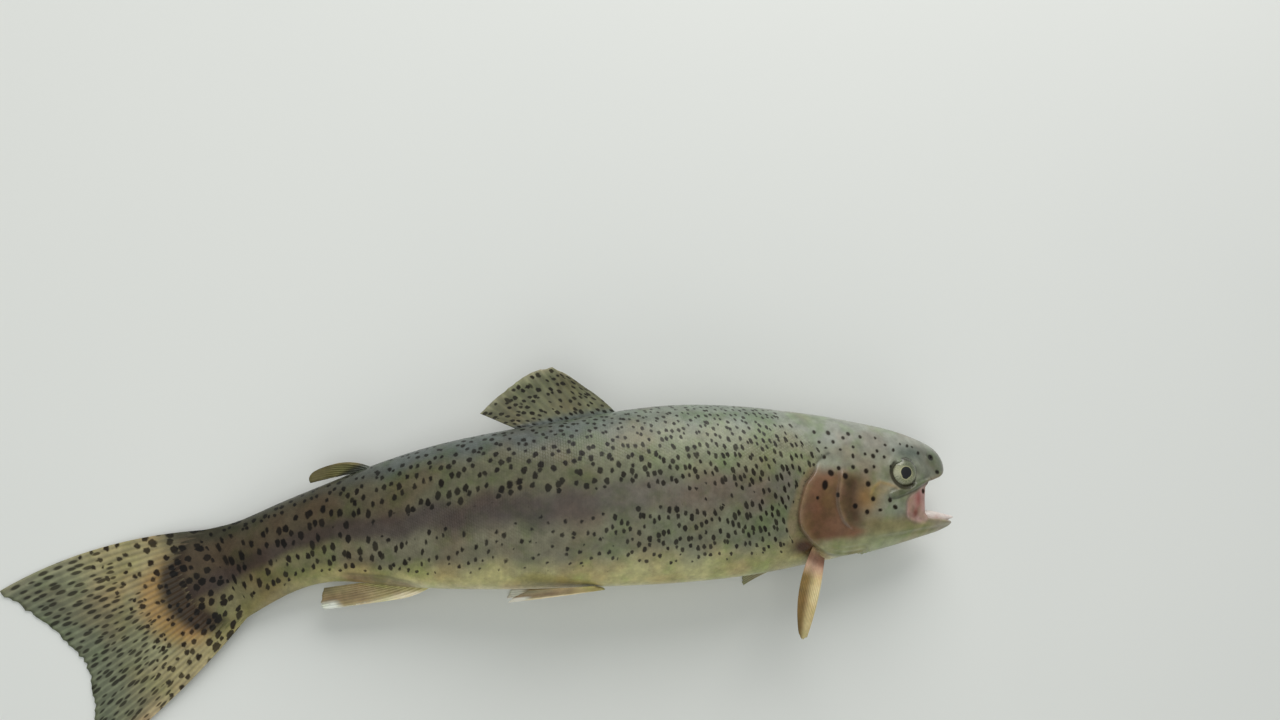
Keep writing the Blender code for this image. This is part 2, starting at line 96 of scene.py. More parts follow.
def tint(red: int, green: int, blue: int) -> Array:
    """A linear colour from the usual 0 to 255 display values."""
    shown = np.array([red, green, blue]) / 255
    return np.where(shown <= 0.04045, shown / 12.92, ((shown + 0.055) / 1.055) ** 2.4)


def blend(base: Array, over: Array, share: Array) -> Array:
    """Rows of colours moved towards another colour by a share for each row."""
    return base + (over - base) * share[..., None]


def flat(tone: Array, like: Array) -> Array:
    """One colour for every element of an array."""
    return np.broadcast_to(tone, (*np.shape(like), 3))


def unit(vector: Array) -> Array:
    """Vectors scaled to a length of 1."""
    return vector / np.maximum(np.linalg.norm(vector, axis=-1, keepdims=True), 1e-9)


def smooth_larger(a: Array, b: Array, radius: float) -> Array:
    """The larger of two distances, rounded where they cross."""
    near = np.clip(radius - np.abs(a - b), 0.0, None) / radius
    return np.maximum(a, b) + near * near * radius * 0.25


def cubic(start: Array, end: Array, leaving: Array, reaching: Array, u: Array) -> Array:
    """Points on the cubic that leaves one point and reaches another at given slopes."""
    near = start * (1 + 2 * u) * (1 - u) ** 2 + leaving * u * (1 - u) ** 2
    return near + end * (3 - 2 * u) * u * u + reaching * u * u * (u - 1)


def curve_through(points: Sequence[Point], closed: bool, steps: int = 6) -> Array:
    """A smooth curve through a few points.

    Args:
        points: The points to pass through, in order.
        closed: Whether the curve returns to its start.
        steps: Points made for each gap.

    Returns:
        The curve as rows of two numbers.
    """
    p = np.array(points, float)
    before = np.roll(p, 1, 0) if closed else np.vstack([2 * p[0] - p[1], p[:-1]])
    after = np.roll(p, -1, 0) if closed else np.vstack([p[1:], 2 * p[-1] - p[-2]])
    i = np.repeat(np.arange(len(p) - (not closed)), steps)
    j = (i + 1) % len(p)
    u = (np.arange(len(i)) % steps / steps)[:, None]
    slope = (after - before) / 2
    curve = cubic(p[i], p[j], slope[i], slope[j], u)
    return curve if closed else np.vstack([curve, p[-1]])


def line_distance(line: Array, x: Array, y: Array) -> Array:
    """The distance from each place to a line of points.

    Args:
        line: The line's corners.
        x, y: The places.

    Returns:
        The distances.
    """
    nearest = np.full(np.shape(x), np.inf)
    for start, end in zip(line[:-1], line[1:]):
        run = end - start
        along = ((x - start[0]) * run[0] + (y - start[1]) * run[1]) / max(float(run @ run), 1e-12)
        along = np.clip(along, 0.0, 1.0)
        gap = np.hypot(x - start[0] - along * run[0], y - start[1] - along * run[1])
        nearest = np.minimum(nearest, gap)
    return nearest


def outline_distance(outline: Array, x: Array, y: Array) -> Array:
    """The distance from each place to a closed outline, below zero inside it.

    Args:
        outline: The outline's corners.
        x, y: The places.

    Returns:
        Distances, below zero inside.
    """
    inside = np.zeros(np.shape(x), bool)
    for (x0, y0), (x1, y1) in zip(outline, np.roll(outline, -1, 0)):
        if y0 == y1:
            continue
        crosses = (y0 > y) != (y1 > y)
        inside ^= crosses & (x < (x1 - x0) * (y - y0) / (y1 - y0) + x0)
    distance = line_distance(np.vstack([outline, outline[:1]]), x, y)
    return np.where(inside, -distance, distance)


# ---- The body's shape, as the solids have it ----


@dataclass(frozen=True)
class Station:
    """One section of the body, between a point on the back and one on the belly, or many as arrays."""

    top_back: Value
    top_rise: Value
    low_back: Value
    low_rise: Value
    half: Value
    widest: Value
    square_up: Value
    square_low: Value

    @property
    def radius(self) -> Value:
        """The mean of its half width and its half depth."""
        return (self.half + (self.top_rise - self.low_rise) / 2) / 2

    def share(self, rise: Array) -> Array:
        """How high each place lies between the belly (0) and the back (1)."""
        return (rise - self.low_rise) / (self.top_rise - self.low_rise)

    def reach(self, rise: Array) -> tuple[Array, Array]:
        """How each place lies to the section's widest line.

        Args:
            rise: The places' heights.

        Returns:
            How far up (to 1) or down (to -1) they lie from that line, and how square the section is there.
        """
        share = self.share(rise)
        up = share > self.widest
        reach = (share - self.widest) / np.where(up, 1 - self.widest, self.widest)
        return reach, np.where(up, self.square_up, self.square_low)

    def width(self, rise: Array) -> Array:
        """Half the section's width at each height."""
        reach, square = self.reach(rise)
        return self.half * np.clip(1 - np.abs(reach) ** square, 0.0, None) ** (1 / square)


@dataclass(frozen=True)
class TailFan:
    """The tail fin's frame: ahead along its middle ray, and across it towards the upper lobe."""

    middle: Point
    half_root: Point
    turn: float = math.radians(-33)
    notch: float = 60.0
    lobes: Point = (75.5, 72.5)
    spreads: Point = (35.5, 39.5)
    bows: Point = (4.5, 11.0)

    def frame(self, back: Array, rise: Array) -> tuple[Array, Array]:
        """Places in the fish as distances ahead and across."""
        x, y, c, s = back - self.middle[0], rise - self.middle[1], math.cos(self.turn), math.sin(self.turn)
        return x * c + y * s, y * c - x * s

    def place(self, ahead: Array, across: Array) -> tuple[Array, Array]:
        """Distances ahead and across as places in the fish."""
        c, s = math.cos(self.turn), math.sin(self.turn)
        return self.middle[0] + ahead * c - across * s, self.middle[1] + ahead * s + across * c

    def ray(self, v: Array, w: Array) -> tuple[Array, Array]:
        """Where a ray lies, by its place in the fan.

        Args:
            v: The ray, from -1 at the lower edge to 1 at the upper one.
            w: The share of the way out along it.

        Returns:
            Distances ahead and across.
        """
        side = (np.asarray(v) > 0).astype(int)
        lobe, spread, bow = (np.array(pair)[side] for pair in (self.lobes, self.spreads, self.bows))
        lean, root = self.frame(self.middle[0] + self.half_root[0], self.middle[1] + self.half_root[1])
        reach = mix(self.notch, lobe, np.abs(v) ** 1.5)
        bend = mix(root, spread, 0.5) * v + bow * v * np.abs(v)
        ahead = lean * v * (1 - w) ** 2 + w * reach
        return ahead, root * v * (1 - w) ** 2 + 2 * w * (1 - w) * bend + w**2 * spread * v

    def shares(self, ahead: Array, across: Array) -> tuple[Array, Array]:
        """The ray through each place and how far out along it the place is.

        Args:
            ahead: Distances along the middle ray.
            across: Distances across it.

        Returns:
            Rays, from -1 to 1, and shares of the way out.
        """
        v, w = across / 22.0, np.clip(ahead / 66.0, 0.0, 1.0)
        for _ in range(5):
            safe = np.where(np.abs(v) < 0.02, 0.02, v)
            at_ahead, at_across = self.ray(safe, w)
            v = np.clip(across * safe / at_across, -1.1, 1.1)
            w = np.clip(w + (ahead - at_ahead) / 68.0, 0.0, 1.0)
        return v, w

    def cells(self, v: Array, w: Array) -> tuple[Array, Array]:
        """The number of spots out along the rays and across them."""
        return w * 15.5, v * mix(5.5, 9.5, ease(w, 0.1, 0.8)) + 40.0


@dataclass
class BodyPlan:
    """The trout's outline: sections on a smooth spine, and where its middle plane lies over the floor."""

    snout_x: float = 132.0
    plane_z: float = 22.0
    head_sink: Triple = (6.0, 86.0, 110.0)
    tail_sink: Point = (166.0, 190.0)
    fin_thick: float = 1.1
    web_long: float = 20.0
    web_thin: float = 0.26
    stations: tuple[Station, ...] = tuple(
        Station(*row)
        for row in (
            (0.3, 13, -3.7, -13.4, 1.4, 0.5, 2, 2), (1.2, 14.8, -2.2, -14.7, 3.9, 0.5, 2, 2),
            (3, 16.3, 0.5, -15.9, 5.8, 0.5, 2.1, 2.1), (7, 18.9, 5, -17.5, 8, 0.49, 2.1, 2.1),
            (13, 21.7, 12, -19.4, 10.1, 0.48, 2.2, 2.1), (22, 24.8, 21, -21.7, 12.4, 0.46, 2.2, 2.1),
            (33, 27.4, 32, -24.2, 14.4, 0.45, 2.2, 2.1), (46, 29.6, 45, -26.5, 15.8, 0.45, 2.2, 2.1),
            (58, 31.5, 57, -28.9, 16.6, 0.46, 2.1, 2.1), (70, 32.9, 70, -31.2, 17.7, 0.48, 2.1, 2.1),
            (84, 34.3, 84, -33.6, 20.2, 0.5, 2.1, 2.1), (104, 35.4, 104, -36, 22.5, 0.51, 2.1, 2.1),
            (128, 34.8, 128, -37.6, 23.2, 0.52, 2.1, 2.1), (156, 30.7, 156, -38.3, 22.3, 0.52, 2.1, 2.1),
            (190, 24.4, 187, -38.7, 19.2, 0.53, 2, 2), (221, 17.6, 213, -38.4, 15.4, 0.53, 2, 2),
            (247, 8.8, 237, -37, 11.9, 0.52, 2, 2), (268, 0.1, 257, -35.5, 9.2, 0.5, 2, 2),
            (284, -6.9, 271, -38.6, 7.2, 0.5, 2, 2), (297, -12.6, 282, -44.2, 5, 0.5, 2, 2),
            (307, -15.2, 289.5, -48.8, 1.6, 0.5, 2, 2),
        )
    )
    rows: Array = field(init=False)
    knots: Array = field(init=False)
    slopes: Array = field(init=False)
    fan: TailFan = field(init=False)

    def __post_init__(self) -> None:
        """Works out the smoothest cubic through the sections."""
        self.rows = np.array([astuple(station) for station in self.stations])
        middles = (self.rows[:, 0:2] + self.rows[:, 2:4]) / 2
        self.knots = np.concatenate([[0.0], np.cumsum(np.hypot(*np.diff(middles, axis=0).T))])
        count, steps = len(self.knots), np.diff(self.knots)
        rates = np.diff(self.rows, axis=0) / steps[:, None]
        system, right = np.zeros((count, count)), np.zeros_like(self.rows)
        system[0, :2], right[0] = (2, 1), 3 * rates[0]
        system[-1, -2:], right[-1] = (1, 2), 3 * rates[-1]
        for i in range(1, count - 1):
            inner = 2 / steps[i - 1] + 2 / steps[i]
            system[i, i - 1 : i + 2] = 1 / steps[i - 1], inner, 1 / steps[i]
            right[i] = 3 * (rates[i - 1] / steps[i - 1] + rates[i] / steps[i])
        self.slopes = np.linalg.solve(system, right)
        end = self.stations[-1]
        middle = ((end.top_back + end.low_back) / 2, (end.top_rise + end.low_rise) / 2)
        self.fan = TailFan(middle, (end.top_back - middle[0], end.top_rise - middle[1]))

    @property
    def length(self) -> float:
        """The length of the middle line."""
        return float(self.knots[-1])

    def sections(self, along: Array) -> Station:
        """The sections at distances along the middle line.

        Args:
            along: Distances along the middle line.

        Returns:
            A station whose measures are arrays.
        """
        i = np.clip(np.searchsorted(self.knots, along) - 1, 0, len(self.knots) - 2)
        step = (self.knots[i + 1] - self.knots[i])[..., None]
        u = (along - self.knots[i])[..., None] / step
        row = cubic(self.rows[i], self.rows[i + 1], self.slopes[i] * step, self.slopes[i + 1] * step, u)
        return Station(*np.moveaxis(row, -1, 0))

    def along_at(self, back: Array, rise: Array) -> Array:
        """The distance along the middle line of the section through each place.

        Args:
            back, rise: Places in side view.

        Returns:
            The distances.
        """
        low = np.zeros(np.shape(back))
        high = np.full(np.shape(back), self.length)
        for _ in range(26):
            middle = (low + high) / 2
            s = self.sections(middle)
            lean_back, lean_rise = s.top_back - s.low_back, s.top_rise - s.low_rise
            behind = (back - s.low_back) * lean_rise > (rise - s.low_rise) * lean_back
            low, high = np.where(behind, middle, low), np.where(behind, high, middle)
        return (low + high) / 2

    def share_at(self, rise: Array, along: Array) -> Array:
        """How high each place lies between the belly (0) and the back (1)."""
        return self.sections(along).share(rise)

    def flank(self, back: Array, rise: Array) -> Array:
        """Half the body's width at each place."""
        return self.sections(self.along_at(back, rise)).width(rise)

    def plane(self, back: Array) -> Array:
        """Height of the fish's middle plane above the floor.

        Args:
            back: Distances behind the snout.

        Returns:
            The heights.
        """
        depth, start, over = self.head_sink
        tail_start, tail_over = self.tail_sink
        sunk_head = depth * (np.clip(start - back, 0.0, None) / over) ** 2
        sunk_tail = (self.plane_z - self.fin_thick / 2) * ease(back, tail_start, tail_start + tail_over)
        return self.plane_z - sunk_head - sunk_tail

    def place(self, points: Array) -> Array:
        """Places in the fish (back, rise, out) as points over the floor, both in millimetres."""
        height = self.plane(points[..., 0]) + points[..., 2]
        return np.stack([self.snout_x - points[..., 0], points[..., 1], height], -1)

    def surface(self, along: Array, angle: Array) -> tuple[Array, Array]:
        """Places on the body's surface.

        Args:
            along: Distances along the middle line.
            angle: Turns round the section in radians, from the back over the right side.

        Returns:
            The places as (back, rise, out) rows, and how high each lies from belly (0) to back (1).
        """
        s = self.sections(np.minimum(along, self.length))
        up, side = np.cos(angle), np.sin(angle)
        square = np.where(up > 0, s.square_up, s.square_low)
        reach = np.sign(up) * np.abs(up) ** (2 / square)
        share = s.widest + reach * np.where(up > 0, 1 - s.widest, s.widest)
        out = s.half * np.sign(side) * np.abs(side) ** (2 / square)
        places = np.stack([mix(s.low_back, s.top_back, share), mix(s.low_rise, s.top_rise, share), out], -1)
        beyond = along > self.length
        if np.any(beyond):
            places[beyond] = self.web(along[beyond] - self.length, angle[beyond])
        return places, share

    def web(self, beyond: Array, angle: Array) -> Array:
        """The scaly skin that thins out over the root of the tail fin.

        Args:
            beyond: Distances past the body's last section.
            angle: Turns round it, as for the body.

        Returns:
            Places as (back, rise, out) rows.
        """
        far = np.clip(beyond / self.web_long, 0, 0.999)
        up = np.cos(angle)
        w = beyond / self.fan.notch
        _, across = self.fan.ray(np.sign(up) * mix(1.0, 0.975, ease(far, 0, 0.3)), w * 0.82)
        narrowed = np.sqrt(1 - far**2)
        lean = self.fan.ray(np.array(1.0), np.array(0.0))[0]
        back, rise = self.fan.place(beyond + lean * up * (1 - far), across * np.abs(up) * narrowed)
        thick = self.stations[-1].half * (1 - far) ** 1.3 + self.web_thin * ease(far, 0, 0.6)
        return np.stack([back, rise, np.sin(angle) * thick * narrowed**0.5], -1)

    def shell(self, along: Array, angle: Array, lift: Value) -> tuple[Array, Array, Array, Array]:
        """Points at a height over the body's surface.

        Args:
            along: Distances along the middle line.
            angle: Turns round the section.
            lift: Height over the surface, outwards.

        Returns:
            Points over the floor in millimetres, their places in the fish, their shares of the height, and
            the surface's outward directions.
        """
        place, share = self.surface(along, angle)
        steps = (-1, 0), (1, 0), (0, -0.01), (0, 0.01)
        ahead, behind, before, after = (self.place(self.surface(along + a, angle + t)[0]) for a, t in steps)
        normal = unit(np.cross(behind - ahead, after - before))
        points = self.place(place) + normal * np.broadcast_to(lift, np.shape(along))[..., None]
        points[..., 2] = np.maximum(points[..., 2], FLOOR_CLEARANCE)
        return points, place, share, normal

    def round_at(self, places: Array, along: Array) -> Array:
        """The way round the body to each place from the back's ridge, below zero on the left.

        Args:
            places: Places in the fish, (back, rise, out).
            along: Distances along the middle line.

        Returns:
            The distances round.
        """
        s = self.sections(along)
        reach, _ = s.reach(places[..., 1])
        return np.arccos(np.clip(reach, -1, 1)) * s.radius * np.where(places[..., 2] < 0, -1.0, 1.0)

    def edge(self, above: bool) -> tuple[Array, Array]:
        """The back's or the belly's line as backs and rises."""
        s = self.sections(np.linspace(0, self.length, 241))
        return (s.top_back, s.top_rise) if above else (s.low_back, s.low_rise)


# ---- Markings: one set of rules for skin, scales and fins ----


@dataclass(frozen=True)
class FlankTones:
    """Colours of one stretch of the body, from the back down to the belly."""

    back: Array
    flank: Array
    band: Array
    low: Array
    belly: Array

    def at(self, share: Array) -> Array:
        """The colour at each height between belly (0) and back (1).

        Args:
            share: Heights from belly (0) to back (1).

        Returns:
            The colours.
        """
        colour = blend(flat(self.belly, share), self.low, ease(share, 0.07, 0.24))
        colour = blend(colour, self.band, ease(share, 0.33, 0.47))
        colour = blend(colour, self.flank, ease(share, 0.53, 0.66))
        return blend(colour, self.back, ease(share, 0.80, 0.95))


FORE_BODY = FlankTones(
    tint(123, 132, 118), tint(134, 138, 110), tint(116, 111, 98), tint(121, 123, 99), tint(187, 182, 124)
)
MID_BODY = FlankTones(
    tint(90, 97, 93), tint(104, 102, 80), tint(78, 69, 62), tint(122, 118, 95), tint(188, 180, 120)
)
TAIL_BODY = FlankTones(
    tint(64, 62, 46), tint(86, 76, 57), tint(72, 61, 52), tint(127, 121, 84), tint(138, 129, 82)
)

HEAD_TOP, SNOUT = tint(140, 143, 132), tint(95, 97, 84)
HEAD_SIDE, CHEEK, CHEEK_LOW = tint(131, 134, 118), tint(135, 106, 63), tint(131, 124, 86)
GILL, GILL_DEEP, GILL_RIM = tint(122, 88, 64), tint(94, 61, 40), tint(158, 134, 106)
# the first is painted shade for a groove; the second is pale bone that also paints a highlight
GROOVE_SHADE, PALE_BONE_AND_HIGHLIGHT = tint(84, 65, 47), tint(162, 136, 92)
THROAT, JAW, CHIN = tint(146, 151, 112), tint(143, 139, 96), tint(150, 138, 122)
LIP, MEMBRANE, MEMBRANE_RED = tint(146, 132, 110), tint(178, 145, 138), tint(140, 78, 70)
MOUTH, MOUTH_DEEP = tint(196, 176, 164), tint(138, 92, 84)
JAW_BONE, ORBIT_SHADE, BROW = tint(95, 101, 76), tint(44, 42, 24), tint(76, 86, 76)
SPOT_SHADE, PECTORAL_SHADE = tint(64, 51, 24), tint(84, 56, 32)
TAIL_DARK, TAIL_ORANGE, TAIL_CREAM = tint(48, 30, 12), tint(164, 128, 74), tint(165, 152, 108)
ANAL_ROOT, SHOULDER_RIM, UNDERSIDE = tint(130, 112, 76), tint(150, 128, 92), tint(214, 210, 186)
TAIL_FIN, TAIL_EDGE = tint(143, 141, 105), tint(104, 112, 88)


@dataclass(frozen=True)
class HeadSpot:
    """One dark spot of the head, by its place and half its size."""

    back: float
    rise: float
    half: float
    tall: float = 1.0
    lean: float = 0.0

    def closeness(self, back: Array, rise: Array) -> Array:
        """How much of the spot's darkness each place has.

        Args:
            back, rise: Places in side view.

        Returns:
            1 in the spot and 0 outside it.
        """
        x, y = back - self.back, rise - self.rise
        c, s = math.cos(self.lean), math.sin(self.lean)
        away = np.hypot(x * c + y * s, (y * c - x * s) / self.tall) / (self.half * 1.15 + 0.08)
        return 1 - ease(away, 0.75, 1.22)


HEAD_SPOTS = tuple(
    HeadSpot(*row)
    for row in (
        (64.9, 2.0, 1.15, 1.5, 0.2), (61.9, 6.9, 1.2, 0.9, 0.6), (55.6, 5.7, 1.1, 1.0, 0.3),
        (59.2, -2.0, 0.55, 1.5), (68.4, -3.2, 0.6), (51.3, -6.5, 0.95), (45.7, -8.9, 0.85),
        (42.9, -3.6, 0.85), (39.5, -8.2, 0.8, 0.7), (34.8, -4.1, 0.85), (32.2, -7.0, 1.05, 0.75, 0.4),
        (45.0, 2.5, 1.0), (8.5, 7.8, 1.0, 0.75), (10.9, 14.0, 1.3, 0.85), (16.7, -0.4, 0.75, 1.2),
        (45.5, 7.8, 0.9), (51.4, 9.4, 0.75), (58.1, 8.9, 0.75), (41.3, 14.1, 0.85), (45.0, 14.9, 0.55),
        (64.1, 13.4, 0.75), (50.8, 14.0, 0.6, 1.4), (36.0, 13.8, 0.6), (39.0, 16.3, 0.6),
        (34.3, 18.9, 0.6, 0.8), (30.8, 16.8, 0.5, 1.4, 0.7), (17.7, 15.8, 0.8, 0.7, -0.7),
        (50.1, 17.8, 0.55), (53.9, 21.6, 0.65), (45.7, 22.2, 0.65), (38.4, 21.9, 0.5), (58.9, 19.8, 0.65),
        (51.0, 23.4, 0.75), (65.4, 19.6, 0.6), (60.3, 23.6, 0.85), (62.8, 17.2, 0.55, 0.7),
        (56.2, 16.6, 0.6, 0.7), (66.8, 23.8, 0.7), (22.8, 18.8, 0.5, 1.5, 0.9), (26.4, 19.5, 0.4),
        (20.2, 18.4, 0.4), (41.6, 9.6, 0.6), (33.6, 9.8, 0.5),
    )
)


@dataclass(frozen=True)
class Looks:
    """What a set of surface points carries for the finishes to read."""

    hide: Array
    lie: Array
    trait: Array
    streak: Array | None = None

    def attach(self, mesh: bpy.types.Mesh) -> None:
        """Stores the values on a mesh's points.

        Args:
            mesh: The mesh.
        """
        colour = np.ones((len(self.hide), 4), np.float32)
        colour[:, :3] = self.hide
        mesh.attributes.new("hide", "FLOAT_COLOR", "POINT").data.foreach_set("color", colour.ravel())
        for name, values in (("lie", self.lie), ("trait", self.trait), ("streak", self.streak)):
            if values is not None:
                set_points(mesh, name, values)


@dataclass(frozen=True)
class ByHead:
    """Points on or near the head, and how they lie to its edges.

    Bare is the distance behind the bare head's edge and depth the distance inside the flank. Nape, behind and
    margin are 1 on the nape, behind the head, and on the shoulder's rim behind the gill cover.
    """

    back: Array
    rise: Array
    bare: Array
    depth: Array
    nape: Array
    behind: Array
    margin: Array


Layer = tuple[Array, Array]


@dataclass
class Markings:
    """Colour and spots for any place of the fish."""

    plan: BodyPlan
    head: "HeadForm"
    head_reach: float = 96.0
    anal_middle: float = 240.0
    anal_reach: float = 20.0
    tail_start: float = 262.0
    web_density: float = 0.95
    web_spot: float = 1.2

    def spot_cells(self, along: Array) -> Array:
        """The number of spots from the snout to each distance along the middle line.

        Args:
            along: Distances along the middle line.

        Returns:
            The numbers.
        """
        line = np.linspace(0, self.plan.length, 200)
        pitch = mix(2.75, 3.35, ease(line, 95, 215))
        cells = np.concatenate([[0.0], np.cumsum(np.diff(line) * 2 / (pitch[1:] + pitch[:-1]))])
        return np.interp(along, line, cells)

    def body_hide(self, back: Array, share: Array) -> Array:
        """The ground colour of the body behind the head.

        Args:
            back: Distances behind the snout.
            share: Heights from belly (0) to back (1).

        Returns:
            The colours.
        """
        uneven = 0.020 * np.sin(back / 6.3 + 2 * np.sin(back / 17))
        share = share + uneven + 0.012 * np.sin(back / 2.7 + share * 9)
        lag = 16 * (1 - ease(share, 0.25, 0.5))
        colour = FORE_BODY.at(share)
        colour = blend(colour, MID_BODY.at(share), ease(back, 118, 185))
        return blend(colour, TAIL_BODY.at(share), ease(back - lag, 225, 268))

    def tail_tones(self, colour: Array, back: Array, rise: Array) -> Array:
        """Lays the dark bar and its orange surround over the root of the tail fin.

        Args:
            colour: The colours below.
            back, rise: Places in side view.

        Returns:
            The colours with the tail's over them.
        """
        ahead, across = self.plan.fan.frame(back, rise)
        past = ahead - 20.5 + 0.028 * (across - 1) ** 2
        wide = 1 - ease(np.abs(across), 12, 21)
        cream = ease(ahead, 11, 19) * (1 - ease(ahead, 34, 50))
        colour = blend(colour, TAIL_CREAM, cream * ease(np.abs(across + 1), 11, 17) * 0.8)
        orange = ease(past, 1, 6) * (1 - ease(past, 9, 19)) * wide
        colour = blend(colour, TAIL_ORANGE, orange * 0.85)
        bar = 1 - ease(np.abs(past), 2.5, 8.0)
        return blend(colour, TAIL_DARK, bar * (1 - ease(np.abs(across), 13, 20)) * 0.95)

    def anal_root(self, colour: Array, back: Array, rise: Array) -> Array:
        """Paints shade along the crease over the anal fin, and marks the fin's brown flesh below it.

        Args:
            colour: Ground colours.
            back, rise: Places in side view.

        Returns:
            The colours with the fin's root laid over them.
        """
        fold = np.interp(back, [222, 229, 238.6, 251], [-38.0, -35.0, -32.9, -32.0])
        ends = ease(back, 224, 230) * (1 - ease(back, 250, 256))
        colour = blend(colour, ANAL_ROOT, ease(fold - rise, 0.0, 1.2) * ends * 0.8)
        # painted shade along the crease over the anal fin
        return colour * (1 - 0.5 * bell(rise - fold, 0.7) * ends)[..., None]

    def side_layers(self, back: Array, rise: Array) -> list[Layer]:
        """The broad tones of the head's side, throat and gill cover, with shade painted in the groove before
        the cheek's rear ridge.

        Args:
            back, rise: Places in side view.

        Returns:
            Colours and their shares, the lowest layer first.
        """
        ridge = back - self.head.preopercle_back(rise)
        gill = ease(ridge, -8.0, 0.5) * ease(rise, -25, -18) * (1 - ease(rise, 4.5, 11))
        # painted shade of the groove in front of the cheek's rear ridge
        groove = bell(ridge + 5.0, 5.0) * ease(rise, -17, -11) * (1 - ease(rise, 3, 9))
        return [
            (HEAD_TOP, ease(rise - 0.12 * back, 9.0, 15.0)),
            (SNOUT, (1 - ease(back, 9, 26)) * (1 - ease(rise, 14, 20)) * 0.8),
            (CHEEK, bell(back - 47.0, 8) * bell(rise + 2.8, 7.5) * 0.95),
            (CHEEK_LOW, ease(-rise, 8, 14) * (1 - ease(back, 40, 58))),
            (GILL, gill * 0.95),
            (GROOVE_SHADE, groove),
            (GILL_DEEP, gill * bell(back - 67, 8) * bell(rise + 12, 13) * 0.7),
            (THROAT, ease(-rise - 0.10 * back, 12.0, 17.0)),
            (JAW, ease(-rise, 11.5, 14.5) * (1 - ease(back, 12, 30))),
            (CHIN, ease(-rise, 10, 12) * (1 - ease(back, 6, 15)) * 0.8),
        ]

    def bone_layers(self, back: Array, rise: Array) -> list[Layer]:
        """The finer tones of bones, rims, mouth and eye socket, with a highlight painted along the crest
        below the eye and the socket's shadow painted dark.

        Args:
            back, rise: Places in side view.

        Returns:
            Colours and their shares, the lowest layer first.
        """
        head = self.head
        lobe = 1 - ease(np.hypot((back - 38.3) / 5.4, (rise - 0.7) / 3.3), 0.3, 1.1)
        # painted highlight along the crest of the bones below the eye; the lobe is pale bone
        crest_highlight = bell(line_distance(head.under_eye, back, rise), 0.8) * ease(back, 27, 34)
        rim = bell(head.rim_inside(back, rise) - 0.9, 1.3) * (1 - ease(rise, 6, 13)) * ease(rise, -25, -21)
        ridge = bell(back - head.preopercle_back(rise), 1.0) * head.preopercle_reach(rise)
        membrane = 1 - ease(head.membrane_away(back, rise), -1.8, 1.2)
        red = bell(back - 19.5, 2.0) * bell(rise + 3.5, 5.0) + bell(back - 21, 1.4) * bell(rise + 9.5, 1.8)
        return [
            (PALE_BONE_AND_HIGHLIGHT, np.clip(lobe * 0.35 + crest_highlight * 0.55, 0, 1)),
            (GILL_RIM, rim * 0.3),
            (GILL_RIM, ridge * 0.35),
            (JAW_BONE, 0.8 - 0.8 * ease(head.maxilla_away(back, rise), -0.6, 0.5)),
            (LIP, bell(head.lip_away(back, rise), 1.3) * 0.9),
            (MEMBRANE, membrane * 0.95),
            (MEMBRANE_RED, np.clip(red, 0, 1) * membrane * 0.85),
            (BROW, bell(back - 22, 9) * bell(rise - 15.8, 3.0) * 0.85),
            # painted shadow in the fold round the eye
            (ORBIT_SHADE, head.orbit_shadow(back, rise) * 0.9),
        ]

    def head_hide(self, near: ByHead) -> Array:
        """The ground colour of the head, outside and in the mouth.

        Args:
            near: Points by the head.

        Returns:
            Their colours.
        """
        back, rise = near.back, near.rise
        colour = flat(HEAD_SIDE, back)
        for tone, share in self.side_layers(back, rise) + self.bone_layers(back, rise):
            colour = blend(colour, tone, share)
        # painted shade: darkens the creases between the head's bones
        colour = colour * (1 - 0.55 * np.clip(self.head.crease(back, rise), 0, 1))[..., None]
        mouth = blend(flat(MOUTH, back), MOUTH_DEEP, ease(back, 3, 20))
        return blend(colour, mouth, ease(near.depth, 0.9, 2.2) * (1 - ease(back, 30, 34)))

    def head_spots(self, near: ByHead) -> Array:
        """How dark the head's own spots make each point: none in the mouth or on the scales."""
        dark = np.max([spot.closeness(near.back, near.rise) for spot in HEAD_SPOTS], axis=0)
        return dark * (near.depth < 2.0) * (1 - near.behind)

    def by_head(self, back: Array, rise: Array, out: Array) -> ByHead:
        """How points by the head lie to its edges.

        Args:
            back, rise: Places in side view.
            out: Distances from the middle plane.

        Returns:
            The points with their measures.
        """
        bare = self.head.bare_away(back, rise)
        behind = ease(bare, -0.3, 1.2)
        past_rim = self.head.rim_outside(back, rise) - mix(0.8, 3.4, ease(-rise, 2, 16))
        margin = (1 - ease(past_rim, 1.0, 3.2)) * (1 - ease(rise, 7, 12)) * behind
        depth = self.plan.flank(back, rise) - np.abs(out)
        return ByHead(back, rise, bare, depth, ease(rise, 12, 17), behind, margin)

    def head_over(self, hide: Array, near: ByHead) -> Array:
        """Lays the head's colours, its painted shade on the shoulder and the painted shade in the pectoral
        fin's pit over the body's.

        Args:
            hide: The body's colours at the points.
            near: The points.

        Returns:
            The colours with the head's over them.
        """
        spill = 1 - ease(near.bare, -0.3 - 4 * near.nape, 1.2 + 12 * near.nape)
        hide = blend(hide, self.head_hide(near), spill)
        shade = self.head.shoulder_shadow(near.back, near.rise) * near.behind
        hide = blend(hide * (1 - 0.45 * shade)[..., None], SHOULDER_RIM, near.margin * 0.55)
        # painted shade in the pit at the pectoral fin's root
        pit_shade = bell(near.back - 72.5, 6.5) * bell(near.rise + 22.8, 3.4) * near.behind
        return blend(hide, PECTORAL_SHADE, np.clip(pit_shade * 1.2, 0, 1))

